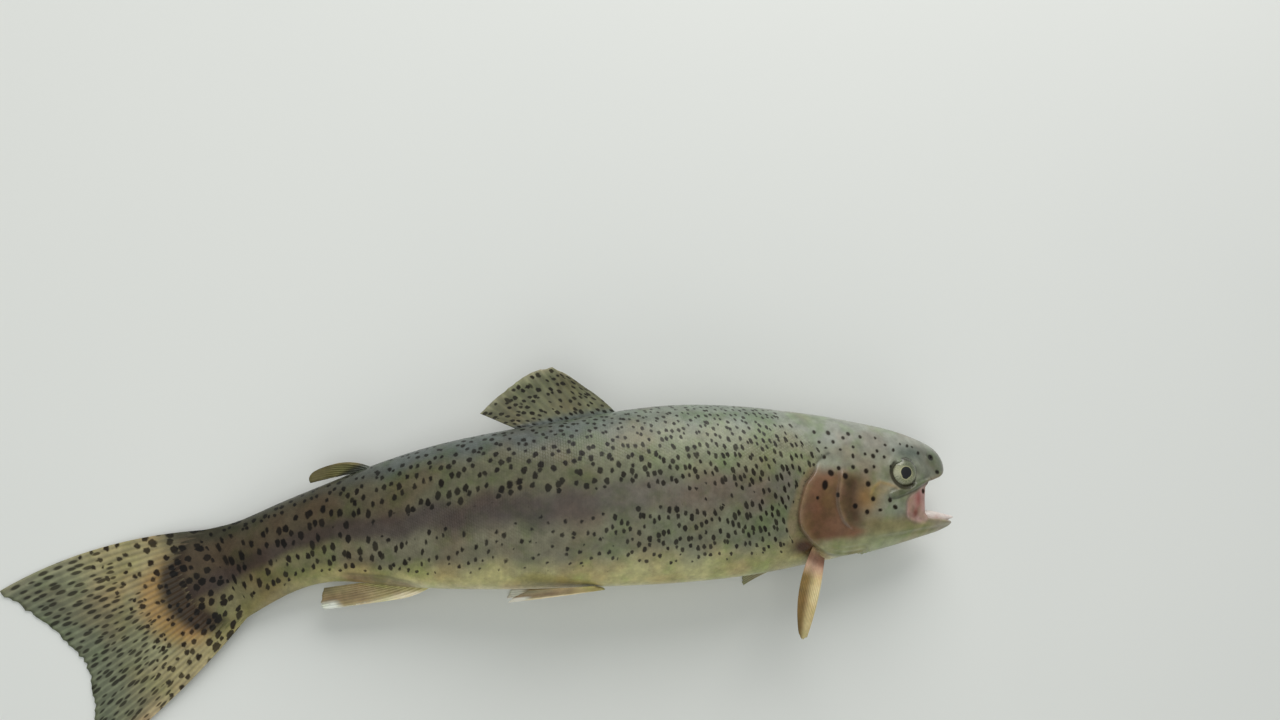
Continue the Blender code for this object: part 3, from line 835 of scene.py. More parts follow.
    def rear_over(self, hide: Array, places: Array, share: Array, behind: Array) -> Array:
        """Lays the pale underside, the painted shade behind the pectoral fins, the anal fin's root and the
        tail's bar over the body's colours.

        Args:
            hide: The body's colours.
            places: Places in the fish, (back, rise, out).
            share: Their heights from belly (0) to back (1).
            behind: 1 where they lie behind the head.

        Returns:
            The colours with all of these over them.
        """
        back, rise, out = np.moveaxis(places, -1, 0)
        under = (1 - ease(share, 0.03, 0.12)) * (1 - ease(out, 1, 9)) * (1 - ease(back, 238, 264)) * behind
        hide = blend(hide, UNDERSIDE, under * 0.6)
        # painted shade on the low belly behind the pectoral fins
        hide *= 1 - (0.22 * bell(back - 82, 14) * (1 - ease(share, 0.10, 0.25)))[..., None]
        anal = np.abs(back - self.anal_middle) < self.anal_reach
        hide[anal] = self.anal_root(hide[anal], back[anal], rise[anal])
        stern = back > self.tail_start
        hide[stern] = self.tail_tones(hide[stern], back[stern], rise[stern])
        return hide

    def rear(self, along: Array) -> Array:
        """1 along the hind body, between the back fin and the tail stalk."""
        return ease(along, 135, 175) * (1 - ease(along, 215, 250))

    def spot_lie(self, places: Array, along: Array, share: Array) -> Array:
        """Where points lie among the scattered spots of the body.

        Args:
            places: Places in the fish, (back, rise, out).
            along: Their distances along the middle line.
            share: Their heights from belly (0) to back (1).

        Returns:
            Rows of cells along the body, cells round it, and the spots' size as a share.
        """
        tall = mix(3.7, 4.5, ease(along, 95, 215)) * mix(1.0, 0.85, ease(along, 225, 280))
        small = mix(1.0, 0.62, self.rear(along) * (1 - ease(share, 0.40, 0.5)))
        small = mix(1.0, 0.84, ease(share, 0.72, 0.90)) * small * mix(0.62, 1.0, ease(share, 0.08, 0.22))
        round_cells = self.plan.round_at(places, along) / tall
        lean = 0.30 * np.sign(places[..., 2] + 1e-6) * (1 - ease(along, 150, 220))
        return np.stack([self.spot_cells(along) + lean * round_cells, round_cells, small], -1)

    def spot_density(self, along: Array, share: Array) -> Array:
        """How many of the body's scattered spots are kept: many above the band, fewer in it and below it.

        Args:
            along: Distances along the middle line.
            share: Heights from belly (0) to back (1).

        Returns:
            The shares kept.
        """
        narrow = 0.025 * (1 - ease(along, 120, 175))
        upper = ease(share + narrow, 0.52, 0.60) * (1 - 0.4 * ease(share, 0.955, 0.985))
        lower = (1 - ease(share - narrow, 0.38, 0.46)) * ease(share, 0.07, 0.20)
        band = 0.12 + 0.62 * (1 - ease(along, 92, 118)) + 0.6 * ease(along, 235, 270)
        in_band = band * (1 - upper - lower) * ease(share, 0.3, 0.36)
        return np.clip(upper + (0.95 - 0.10 * self.rear(along)) * lower + in_band, 0, 1)

    def looks(self, places: Array, along: Array, share: Array, rim: Value = 0.0) -> Looks:
        """Everything that points on the skin or the scales carry.

        Args:
            places: Places in the fish, (back, rise, out).
            along: Their distances along the middle line.
            share: Their heights from belly (0) to back (1).
            rim: How near each lies to its own scale's free edge, from 0 to 1.

        Returns:
            Ground colours, spot coordinates and traits.
        """
        back, rise, out = np.moveaxis(places, -1, 0)
        near = back < self.head_reach
        by_head = self.by_head(back[near], rise[near], out[near])
        behind, spots = np.ones(np.shape(back)), np.zeros(np.shape(back))
        behind[near], spots[near] = by_head.behind, self.head_spots(by_head)
        hide = self.body_hide(back, share)
        hide[near] = self.head_over(hide[near], by_head)
        hide = self.rear_over(hide, places, share, behind)
        lie = self.spot_lie(places, along, share)
        density = self.spot_density(along, share) * behind
        density[near] *= (1 - by_head.margin) * (1 - 0.85 * by_head.nape * (1 - ease(by_head.bare, 0, 9)))
        fan = self.plan.fan
        ahead, across = fan.frame(back, rise)
        webbed = ahead > 0
        ray, reach = fan.shares(ahead[webbed], across[webbed])
        lie[webbed] = np.stack([*fan.cells(ray, reach), self.web_spot + 0 * ray], -1)
        density = np.where(webbed, self.web_density, density) * (1 - bell(ahead, 1.1))
        return Looks(hide, lie, np.stack([spots, density, np.broadcast_to(rim, np.shape(back))], -1))


# ---- The head ----


@dataclass
class HeadForm:
    """The head's forms: jaws, gill covers, sockets and folds, each as a distance or a height."""

    plan: BodyPlan
    eye_back: float = 26.5
    eye_rise: float = 7.9
    eye_radius: float = 6.5
    eye_flatness: float = 0.55
    eye_stands_out: float = 1.6
    eye_follows: float = 0.35
    lid: Triple = (5.5, 4.65, 0.7)
    nostrils: tuple[tuple[Point, Point, float], ...] = (
        ((10.7, 13.8), (0.9, 0.7), 0.7),
        ((13.0, 14.6), (0.7, 0.5), 0.35),
    )
    gape: Array = field(init=False)
    gape_roof: Array = field(init=False)
    jaw_rim: Array = field(init=False)
    rim: Array = field(init=False)
    cover: Array = field(init=False)
    bare: Array = field(init=False)
    preopercle: Array = field(init=False)
    membrane: Array = field(init=False)
    maxilla: Array = field(init=False)

    def __post_init__(self) -> None:
        """Lays the outlines and ridges out."""
        roof = [(-9, 11.5), (-0.6, 9.6), (1.6, 7.6), (7, 5.6), (13.6, 3.6), (15.0, 1.5)]
        floor = [(15.4, -4), (15.0, -9.5), (13.6, -11.7), (7, -12.1), (1, -12.8), (-9, -14.0)]
        self.gape = np.array(roof + floor)
        self.gape_roof = curve_through([(-0.6, 9.6), (1.6, 7.6), (7, 5.6), (13.6, 3.6)], closed=False)
        self.jaw_rim = curve_through([(-3.6, -13.2), (2, -12.6), (8, -12.1), (14.5, -11.4)], closed=False)
        upper = [(62, 14.5), (66.4, 11.9), (69.8, 6.4), (73.6, 2), (75.8, -4), (76.9, -10)]
        lower = [(75.6, -15.2), (71.4, -19.6), (67.5, -22.6), (62, -25.6), (54, -27.2), (45, -26.2)]
        self.rim = curve_through(upper + lower, closed=False)
        self.cover = np.vstack([self.rim, [(20, -34), (-20, 0), (40, 15)]])
        crown = [(80, 40), (73, 28), (68, 20), (63.5, 14.5)]
        self.bare = np.vstack([crown, self.rim[8:], [(40, -45), (-20, -45), (-20, 40)]])
        upper = [(56.2, 9.5), (57.3, 4.1), (58.6, -2.8), (57.8, -8.1)]
        lower = [(55.2, -13), (50.7, -16.2), (44, -18), (36, -18)]
        self.preopercle = curve_through(upper + lower, closed=False)
        corner = [(14.4, 2.6), (20, 0.2), (25.5, -3), (26.4, -7), (25.4, -11.5), (20, -13.6), (14.2, -12.4)]
        self.membrane = curve_through(corner, closed=True, steps=4)
        self.maxilla = self.maxilla_outline()

    def maxilla_outline(self, count: int = 14) -> Array:
        """The side bone of the upper jaw: narrow by the snout, broad and round behind.

        Args:
            count: Corners on each side.

        Returns:
            Its corners.
        """
        front, rear = np.array([13.2, 4.8]), np.array([34.5, -2.2])
        run = rear - front
        across = np.array([-run[1], run[0]]) / np.hypot(*run)
        u = np.linspace(0, 1, count)
        half = mix(0.6, 1.5, ease(u, 0, 0.9)) * np.sqrt(1 - 0.7 * np.clip((u - 0.84) / 0.16, 0, None) ** 2)
        middle = front + run * u[:, None] - across * (0.5 * np.sin(np.pi * u))[:, None]
        return np.vstack([middle + across * half[:, None], (middle - across * half[:, None])[::-1]])

    def preopercle_back(self, rise: Array) -> Array:
        """How far back the cheek's rear ridge lies at each height."""
        upper = self.preopercle[self.preopercle[:, 1] > -16.3]
        return np.interp(-np.asarray(rise), -upper[:, 1], upper[:, 0])

    def preopercle_reach(self, rise: Array) -> Array:
        """1 at the heights where the cheek's rear ridge shows."""
        return ease(rise, -17, -13) * (1 - ease(rise, 5.5, 9.5))

    def rim_inside(self, back: Array, rise: Array) -> Array:
        """The distance in front of the gill cover's free edge, below zero behind it."""
        side = np.where(outline_distance(self.cover, back, rise) < 0, 1.0, -1.0)
        return side * line_distance(self.rim, back, rise)

    def rim_outside(self, back: Array, rise: Array) -> Array:
        """The distance behind the gill cover's free edge."""
        return -self.rim_inside(back, rise)

    def scaled(self, back: Array, rise: Array) -> Array:
        """0 on the bare head and 1 on the scaled body behind it."""
        return ease(self.bare_away(back, rise), -0.3, 1.2)

    def inset(self, back: Array, rise: Array) -> Array:
        """How much of the coat's depth the skin gives way: none on the bare head, all of it behind."""
        return np.maximum(ease(self.bare_away(back, rise), -1.0, 7.0), ease(back, 73.0, 80.5))

    def bare_away(self, back: Array, rise: Array) -> Array:
        """The distance behind the bare head's edge, below zero on the head."""
        return outline_distance(self.bare, back, rise)

    def maxilla_away(self, back: Array, rise: Array) -> Array:
        """The distance from the upper jaw's side bone, below zero on it."""
        return outline_distance(self.maxilla, back, rise)

    def membrane_away(self, back: Array, rise: Array) -> Array:
        """The distance from the soft corner of the mouth, below zero on it."""
        return outline_distance(self.membrane, back, rise)

    def lip_away(self, back: Array, rise: Array) -> Array:
        """The distance from either lip's edge."""
        roof = line_distance(self.gape_roof, back, rise)
        return np.minimum(roof, line_distance(self.jaw_rim, back, rise))

    def orbit_shadow(self, back: Array, rise: Array) -> Array:
        """1 in the fold round the eye, widest below and behind it, where the relief sinks and its shadow is
        painted dark.

        Args:
            back, rise: Places in side view.

        Returns:
            The shares.
        """
        x, y = back - self.eye_back, rise - self.eye_rise
        away, turn = np.hypot(x, y), np.arctan2(y, x)
        low_rear = ease(np.cos(turn + 0.95), -0.55, 0.65)
        width = mix(0.3, 2.1, low_rear)
        return (1 - ease(away - 5.2 - width, -0.2, 0.9)) * ease(low_rear, 0.02, 0.5)

    def crease(self, back: Array, rise: Array) -> Array:
        """1 along the thin lines between the bones of the head, where the shade in their creases is painted
        dark.

        Args:
            back, rise: Places in side view.

        Returns:
            The shares.
        """
        # painted shadows under the side bone's lower edge, behind the gill cover's edge and the cheek's
        # ridge, along the jaw and round the mouth's corner
        maxilla = bell(self.maxilla_away(back, rise) - 0.45, 0.5) * ease(-rise + 0.32 * (34 - back), 0.0, 3.0)
        cover = bell(self.rim_outside(back, rise) - 0.5, 0.7)
        cheek = bell(back - self.preopercle_back(rise) - 1.0, 0.8) * self.preopercle_reach(rise)
        jaw = bell(line_distance(self.jaw_crease, back, rise), 1.0)
        corner = bell(self.membrane_away(back, rise), 0.6) * ease(back, 17, 22)
        return maxilla * 0.9 + cover + cheek * 0.5 + jaw * 0.25 + corner * 0.45

    @property
    def jaw_crease(self) -> Array:
        """The line along which the lower jaw meets the throat."""
        return np.array([(2.0, -15.2), (14.0, -16.4), (26.0, -18.2), (38.0, -19.4)])

    @property
    def under_eye(self) -> Array:
        """The crest of the bones that run below and behind the eye."""
        return np.array([(30.0, 0.6), (35.3, 2.5), (39.3, 3.3), (42.2, 1.4), (44.0, -1.5)])

    def shoulder_shadow(self, back: Array, rise: Array) -> Array:
        """1 just behind the gill cover, where the body is in its shade."""
        return bell(np.clip(self.rim_outside(back, rise), 0, None), 1.3)

    def cover_relief(self, back: Array, rise: Array) -> Array:
        """Heights of the gill cover's edge and of the cheek's rear ridge in front of it.

        Args:
            back, rise: Places in side view.

        Returns:
            The heights.
        """
        inside = self.rim_inside(back, rise)
        upper_end = 1 - ease(rise, 5.0, 13.0)
        height = 1.05 * upper_end * ease(inside, -0.35, 0.55) * np.exp(-np.clip(inside, 0, None) / 10.0)
        height += upper_end * (0.12 * bell(inside - 0.8, 0.8) - 0.55 * bell(inside + 0.9, 0.75))
        ridge = back - self.preopercle_back(rise)
        reach = self.preopercle_reach(rise)
        height += reach * (0.42 * bell(ridge, 1.0) - 0.30 * bell(ridge - 1.7, 0.9))
        height += reach * 0.30 * ease(ridge, -9, 0) * (1 - ease(ridge, -0.2, 0.8))
        low_ridge = line_distance(self.preopercle, back, rise)
        return height + (1 - ease(rise, -18.5, -13)) * 0.3 * bell(low_ridge, 1.1) * ease(back, 38, 46)

    def mouth_relief(self, back: Array, rise: Array) -> Array:
        """Heights of the upper jaw's side bone, the lips and the soft corner of the mouth.

        Args:
            back, rise: Places in side view.

        Returns:
            The heights.
        """
        bone = self.maxilla_away(back, rise)
        height = 0.42 * (1 - ease(bone, -0.9, 0.35)) - 0.35 * bell(bone - 0.55, 0.5)
        height += 0.40 * bell(self.lip_away(back, rise) - 0.9, 1.0)
        soft = self.membrane_away(back, rise)
        height -= 1.1 * (1 - ease(soft, -1.7, 0.4))
        return height + (1 - ease(soft, -2.2, 0.0)) * 0.35 * bell(back + 0.12 * rise - 19.6, 1.7)

    def throat_relief(self, back: Array, rise: Array) -> Array:
        """Heights of the folds under the throat and of the lower jaw's edge.

        Args:
            back, rise: Places in side view.

        Returns:
            The heights.
        """
        throat = (1 - ease(rise, -24, -20.5)) * ease(back, 34, 44) * (1 - ease(back, 64, 70))
        height = throat * 0.16 * np.sin(self.rim_inside(back, rise) * 3.1)
        height -= 0.22 * bell(line_distance(self.jaw_crease, back, rise), 0.9)
        return height + 0.22 * bell(line_distance(self.jaw_crease + (0.0, 1.3), back, rise), 1.0)

    def eye_relief(self, back: Array, rise: Array) -> Array:
        """Heights of the lids, the bones below the eye and the nostrils.

        Args:
            back, rise: Places in side view.

        Returns:
            The heights.
        """
        x, y = back - self.eye_back, rise - self.eye_rise
        height = 0.2 * bell(np.hypot(x, y * 0.95) - 7.6, 1.0) - 0.75 * self.orbit_shadow(back, rise)
        long, tall, drop = self.lid
        lid = (np.hypot(x / long, (y + drop) / tall) - 1) * tall
        height += 1.5 * ease(lid, -0.25, 0.45) * np.exp(-np.clip(lid, 0, None) / 2.2) * ease(y, -0.5, 3.0)
        for middle, half, deep in self.nostrils:
            away = np.hypot((back - middle[0]) / half[0], (rise - middle[1]) / half[1])
            height -= deep * bell(away, 1.0)
        return height + 0.36 * bell(line_distance(self.under_eye, back, rise), 1.1)

    def relief(self, back: Array, rise: Array) -> Array:
        """How far the skin stands out from the plain head, as a height over it."""
        parts = self.cover_relief, self.mouth_relief, self.throat_relief, self.eye_relief
        return sum(part(back, rise) for part in parts)

    def eye_frame(self, side: int) -> tuple[Array, Array]:
        """The eyeball's middle and its outward direction, in the fish's own places.

        Args:
            side: 1 for the right one and -1 for the left.

        Returns:
            The middle and the direction.
        """
        b, r, nudge = self.eye_back, self.eye_rise, 1.0

        def width(back: float, rise: float) -> float:
            """Half the head's width at a place."""
            return float(self.plan.flank(np.array(back), np.array(rise)))

        along = (width(b + nudge, r) - width(b - nudge, r)) / (2 * nudge)
        up = (width(b, r + nudge) - width(b, r - nudge)) / (2 * nudge)
        normal = unit(np.array([-along * self.eye_follows, -up * self.eye_follows, side], float))
        sunk = self.eye_radius * self.eye_flatness - self.eye_stands_out
        return np.array([b, r, side * width(b, r)]) - normal * sunk, normal


@dataclass
class HeadSculpt:
    """The head's skin, meshed from a field of distances to its surface.

    The hollows of palate and throat are eggs, each given by its middle (back, rise) and its half sizes.
    """

    form: HeadForm
    voxel: float = 0.42
    back_range: Point = (-6.5, 83.0)
    rise_range: Point = (-36.5, 37.5)
    out_reach: float = 22.5
    hollows: tuple[tuple[Point, Triple], ...] = (
        ((9.0, 4.6), (8.6, 4.2, 6.0)),
        ((19.0, -4.5), (12.0, 7.0, 7.6)),
    )

    def axes(self) -> tuple[Array, Array, Array]:
        """The grid's places along back, rise and the right half of out, shaped to spread over one another.

        Returns:
            The three arrays.
        """
        back, rise = np.arange(*self.back_range, self.voxel), np.arange(*self.rise_range, self.voxel)
        back, rise = np.meshgrid(back, rise, indexing="ij")
        return back[..., None], rise[..., None], np.arange(0, self.out_reach, self.voxel)[None, None, :]

    @staticmethod
    def egg(x: Array, y: Array, z: Array, half: Triple) -> Array:
        """The distance from an egg-shaped hollow's wall, below zero inside.

        Args:
            x, y: The places.
            z: Third coordinates.
            half: Its half sizes.

        Returns:
            The distances.
        """
        a, b, c = half
        scaled = np.sqrt((x / a) ** 2 + (y / b) ** 2 + (z / c) ** 2)
        steep = np.sqrt((x / a**2) ** 2 + (y / b**2) ** 2 + (z / c**2) ** 2)
        return scaled * (scaled - 1) / np.maximum(steep, 1e-4)

    def plain_head(self, back: Array, rise: Array, out: Array) -> Array:
        """Distances to the plain head, which the body's sections give, with a rounded snout.

        Args:
            back, rise: Places in side view.
            out: Distances from the middle plane.

        Returns:
            The distances.
        """
        plan = self.form.plan
        s = plan.sections(plan.along_at(back, rise))
        reach, square = s.reach(rise)
        ratio = (np.abs(reach) ** square + (out / s.half) ** square) ** (1 / square)
        ratio = ratio.astype(np.float32) - 1
        slope = np.sqrt(sum(part**2 for part in np.gradient(ratio, self.voxel)))
        body = np.clip(ratio / np.maximum(slope, 0.02), -6, 6)
        body = np.maximum(body, 0.6 * (out - plan.flank(back, rise)) - 0.8)
        first = plan.stations[0]
        lean = unit(np.array([first.top_back - first.low_back, first.top_rise - first.low_rise]))
        ahead = -((back - first.low_back) * lean[1] - (rise - first.low_rise) * lean[0])
        return smooth_larger(body, ahead.astype(np.float32) + 0.8, 5.0)

    def with_relief(self, body: Array, back: Array, rise: Array, out: Array) -> Array:
        """The plain head with its bones, folds and lids raised, and sunk under the scales behind.

        Args:
            body: The distances so far.
            back, rise: Places in side view.
            out: Distances from the middle plane.

        Returns:
            The new distances.
        """
        flank = self.form.plan.flank(back, rise)
        off_middle = ease(out / np.maximum(flank, 1.5), 0.30, 0.75)
        sunk = COAT_DEPTH * ease(back, 60, 68) * self.form.inset(back, rise)
        raised = self.form.relief(back, rise).astype(np.float32) * off_middle.astype(np.float32)
        return body - raised + sunk.astype(np.float32)

    def with_mouth(self, body: Array, back: Array, rise: Array, out: Array) -> Array:
        """The head with the gape, the palate, the throat and the trough of the lower jaw cut into it.

        Args:
            body: The distances so far.
            back, rise: Places in side view.
            out: Distances from the middle plane.

        Returns:
            The new distances.
        """
        gape = outline_distance(self.form.gape, back, rise).astype(np.float32)
        lip = mix(4.5, 1.1, np.maximum(ease(back, 1.5, 7.0), 1 - ease(rise, -2.0, 4.0)))
        body = smooth_larger(body, -gape, lip.astype(np.float32))
        for middle, half in self.hollows:
            body = smooth_larger(body, -self.egg(back - middle[0], rise - middle[1], out, half), 2.2)
        trough = smooth_larger(body + 1.1, -14.4 - rise, 1.5)
        trough = smooth_larger(trough, rise + 11.0, 0.5)
        trough = smooth_larger(smooth_larger(trough, -1.6 - back, 1.2), back - 16.0, 1.2)
        return smooth_larger(body, -trough, 0.8)

    def with_socket(self, body: Array, back: Array, rise: Array, out: Array) -> Array:
        """The head with the right eye's socket cut into it.

        Args:
            body: The distances so far.
            back, rise: Places in side view.
            out: Distances from the middle plane.

        Returns:
            The new distances.
        """
        form = self.form
        middle, normal = form.eye_frame(1)
        dx, dy, dz = back - middle[0], rise - middle[1], out - middle[2]
        deep = dx * normal[0] + dy * normal[1] + dz * normal[2]
        wide = np.sqrt(np.maximum(dx**2 + dy**2 + dz**2 - deep**2, 0))
        half = (form.eye_radius - 0.3, form.eye_radius * form.eye_flatness - 0.05, 1.0)
        return smooth_larger(body, -self.egg(wide, deep, 0 * deep, half), 0.5)

    def field(self) -> Array:
        """Distances to the head's surface on the right half of the grid, below zero inside.

        Returns:
            The distances.
        """
        axes = self.axes()
        body = self.plain_head(*axes)
        for carve in (self.with_relief, self.with_mouth, self.with_socket):
            body = carve(body, *axes)
        return body.astype(np.float32)

    def mesh(self) -> tuple[Array, Array]:
        """The head's surface as places in the fish and four-cornered faces.

        Returns:
            Points and four-cornered faces.
        """
        right = self.field()
        whole = np.concatenate([right[:, :, :0:-1], right], axis=2)
        grid = openvdb.FloatGrid(3.0)
        grid.copyFromArray(np.ascontiguousarray(whole))
        points, quads = grid.convertToQuads(0.0)
        origin = np.array([self.back_range[0], self.rise_range[0], -(right.shape[2] - 1) * self.voxel])
        return points * self.voxel + origin, quads


# ---- Meshes ----


def build_mesh(name: str, points: Array, faces: Array) -> bpy.types.Mesh:
    """A smooth mesh from points in millimetres and faces of equal size.

    Args:
        name: The mesh's name.
        points: Rows of three numbers.
        faces: Rows of corner numbers.

    Returns:
        The new mesh, in metres.
    """
    mesh = bpy.data.meshes.new(name)
    mesh.vertices.add(len(points))
    mesh.vertices.foreach_set("co", (np.asarray(points) * MM).astype(np.float32).ravel())
    mesh.loops.add(faces.size)
    mesh.loops.foreach_set("vertex_index", faces.astype(np.int32).ravel())
    mesh.polygons.add(len(faces))
    mesh.polygons.foreach_set("loop_start", np.arange(0, faces.size, faces.shape[1], dtype=np.int32))
    mesh.update(calc_edges=True)
    mesh.shade_smooth()
    return mesh


def ring_faces(rings: int, around: int) -> Array:
    """Four-cornered faces between rings of points, one ring after another.

    Args:
        rings: The number of rings.
        around: The points in each.

    Returns:
        Rows of corner numbers.
    """
    i = np.arange(around)
    j = (i + 1) % around
    ring = np.stack([i, j, around + j, around + i], 1)
    return (ring + (np.arange(rings - 1) * around)[:, None, None]).reshape(-1, 4)


def close_up(mesh: bpy.types.Mesh, weld: float = 0.0) -> bpy.types.Mesh:
    """Welds a mesh's doubled points and turns its faces outwards.

    Args:
        mesh: The mesh.
        weld: The distance in metres under which points are one, or 0 to leave them apart.

    Returns:
        The same mesh.
    """
    bm = bmesh.new()
    bm.from_mesh(mesh)
    if weld:
        bmesh.ops.remove_doubles(bm, verts=bm.verts, dist=weld)
    bmesh.ops.recalc_face_normals(bm, faces=bm.faces)
    bm.to_mesh(mesh)
    bm.free()
    mesh.shade_smooth()
    return mesh


def set_points(mesh: bpy.types.Mesh, name: str, values: Array) -> None:
    """Stores three numbers a point on a mesh."""
    layer = mesh.attributes.new(name, "FLOAT_VECTOR", "POINT")
    layer.data.foreach_set("vector", np.asarray(values).astype(np.float32).ravel())


def mesh_points(mesh: bpy.types.Mesh) -> Array:
    """A mesh's points in millimetres.

    Args:
        mesh: The mesh.

    Returns:
        Rows of three numbers.
    """
    flat = np.zeros(len(mesh.vertices) * 3, np.float32)
    mesh.vertices.foreach_get("co", flat)
    return flat.reshape(-1, 3).astype(float) / MM


def show(name: str, mesh: bpy.types.Mesh, material: bpy.types.Material) -> bpy.types.Object:
    """Puts a mesh in the scene as a finished object.

    Args:
        name: Its name.
        mesh: The mesh.
        material: Its finish.

    Returns:
        The object.
    """
    mesh.materials.append(material)
    piece = bpy.data.objects.new(name, mesh)
    bpy.context.scene.collection.objects.link(piece)
    return piece


def report(piece: bpy.types.Object) -> None:
    """Logs a finished piece and its size."""
    LOG.info("%s: %d faces", piece.name, len(piece.data.polygons))


# ---- Shader writing ----


class Socket:
    """A node's output that takes part in arithmetic, each step of which adds a Math node."""

    def __init__(self, shader: "Shader", output: bpy.types.NodeSocket) -> None:
        """Keeps the output and the shader that it belongs to."""
        self.shader, self.output = shader, output

    def __add__(self, other: "Socket | float") -> "Socket":
        """The sum."""
        return self.shader.maths("ADD", self, other)

    __radd__ = __add__

    def __mul__(self, other: "Socket | float") -> "Socket":
        """The product."""
        return self.shader.maths("MULTIPLY", self, other)

    __rmul__ = __mul__

    def __sub__(self, other: "Socket | float") -> "Socket":
        """The difference."""
        return self.shader.maths("SUBTRACT", self, other)

    def __rsub__(self, other: "Socket | float") -> "Socket":
        """The difference, this one taken away."""
        return self.shader.maths("SUBTRACT", other, self)

    def larger(self, other: "Socket | float") -> "Socket":
        """The larger of the two."""
        return self.shader.maths("MAXIMUM", self, other)

    def step(self, low: "Socket | float", high: "Socket | float") -> "Socket":
        """A smooth step from 0 at low to 1 at high."""
        values = {"Value": self, "From Min": low, "From Max": high}
        return self.shader.node("ShaderNodeMapRange", {"interpolation_type": "SMOOTHSTEP"}, values)


class Shader:
    """One material, written as expressions that end in a Principled BSDF."""

    def __init__(self, name: str) -> None:
        """Starts an empty material of that name.

        Args:
            name: Its name.
        """
        self.material = bpy.data.materials.new(name)
        self.material.use_nodes = True
        self.tree = self.material.node_tree
        self.surface = self.tree.nodes["Principled BSDF"]

    def join(self, socket: bpy.types.NodeSocket, value: object) -> None:
        """Links a value to a node's input, or sets the input to a constant.

        Args:
            socket: The input.
            value: A socket, or a number or colour to set.
        """
        if isinstance(value, Socket):
            self.tree.links.new(value.output, socket)
        elif isinstance(value, (int, float)):
            socket.default_value = value
        else:
            plain = [float(v) for v in value]
            length = len(socket.default_value)
            socket.default_value = (plain + [1.0])[:length] if length > len(plain) else plain[:length]

    def node(
        self, kind: str, settings: dict | None = None, values: dict | None = None, output: str | int = 0
    ) -> Socket:
        """Adds any node.

        Args:
            kind: The node's type.
            settings: Its own settings, set before its inputs.
            values: Numbers, colours or sockets for its inputs, by name or number.
            output: The output wanted.

        Returns:
            That output.
        """
        made = self.tree.nodes.new(kind)
        for key, setting in (settings or {}).items():
            setattr(made, key, setting)
        for key, value in (values or {}).items():
            self.join(made.inputs[key], value)
        return Socket(self, made.outputs[output])

    def maths(self, operation: str, *values: "Socket | float") -> Socket:
        """One Math node."""
        return self.node("ShaderNodeMath", {"operation": operation}, dict(enumerate(values)))

    def mixed(self, share: Socket | float, below: object, above: object, how: str = "MIX") -> Socket:
        """Two colours mixed."""
        settings = {"data_type": "RGBA", "blend_type": how, "clamp_factor": True}
        return self.node("ShaderNodeMix", settings, {0: share, 6: below, 7: above}, 2)

    def times(self, share: Socket | float, colour: Socket, tone: Array) -> Socket:
        """A colour multiplied by another where the share is 1, and left alone where it is 0."""
        return self.mixed(share, colour, self.mixed(1.0, colour, tone, "MULTIPLY"))

    def attribute(self, name: str, output: str = "Vector") -> Socket:
        """A value that the mesh carries on its points."""
        return self.node("ShaderNodeAttribute", {"attribute_name": name}, output=output)

    def parts(self, vector: Socket) -> tuple[Socket, Socket, Socket]:
        """A vector's three parts.

        Args:
            vector: The vector.

        Returns:
            The parts.
        """
        split = self.tree.nodes.new("ShaderNodeSeparateXYZ")
        self.join(split.inputs[0], vector)
        return tuple(Socket(self, output) for output in split.outputs)

    def noise(self, vector: Socket, scale: float, detail: float = 2.0, rough: float = 0.5) -> Socket:
        """A soft noise from 0 to 1."""
        values = {"Vector": vector, "Scale": scale, "Detail": detail, "Roughness": rough}
        return self.node("ShaderNodeTexNoise", {}, values)

    def cells(self, vector: Socket, uneven: float) -> tuple[Socket, Socket, Socket, Socket]:
        """Cells scattered on a plane.

        Args:
            vector: The place on the plane.
            uneven: How unevenly they are scattered, from 0 to 1.

        Returns:
            The distance to the nearest cell's middle, and three numbers of that cell's own.
        """
        settings = {"feature": "F1", "distance": "EUCLIDEAN", "voronoi_dimensions": "2D"}
        values = {"Vector": vector, "Scale": 1.0, "Randomness": uneven}
        away = self.node("ShaderNodeTexVoronoi", settings, values, "Distance")
        return away, *self.parts(self.node("ShaderNodeTexVoronoi", settings, values, "Color"))

    def bump(self, height: Socket, distance: float, strength: float) -> Socket:
        """A surface direction tilted by a height."""
        return self.node("ShaderNodeBump", {}, {"Height": height, "Distance": distance, "Strength": strength})

    def feed(self, **values: object) -> bpy.types.Material:
        """Feeds the surface's inputs, named with underscores for spaces, and hands the material over.

        Args:
            **values: What each input gets.

        Returns:
            The material.
        """
        for key, value in values.items():
            self.join(self.surface.inputs[key.replace("_", " ")], value)
        return self.material


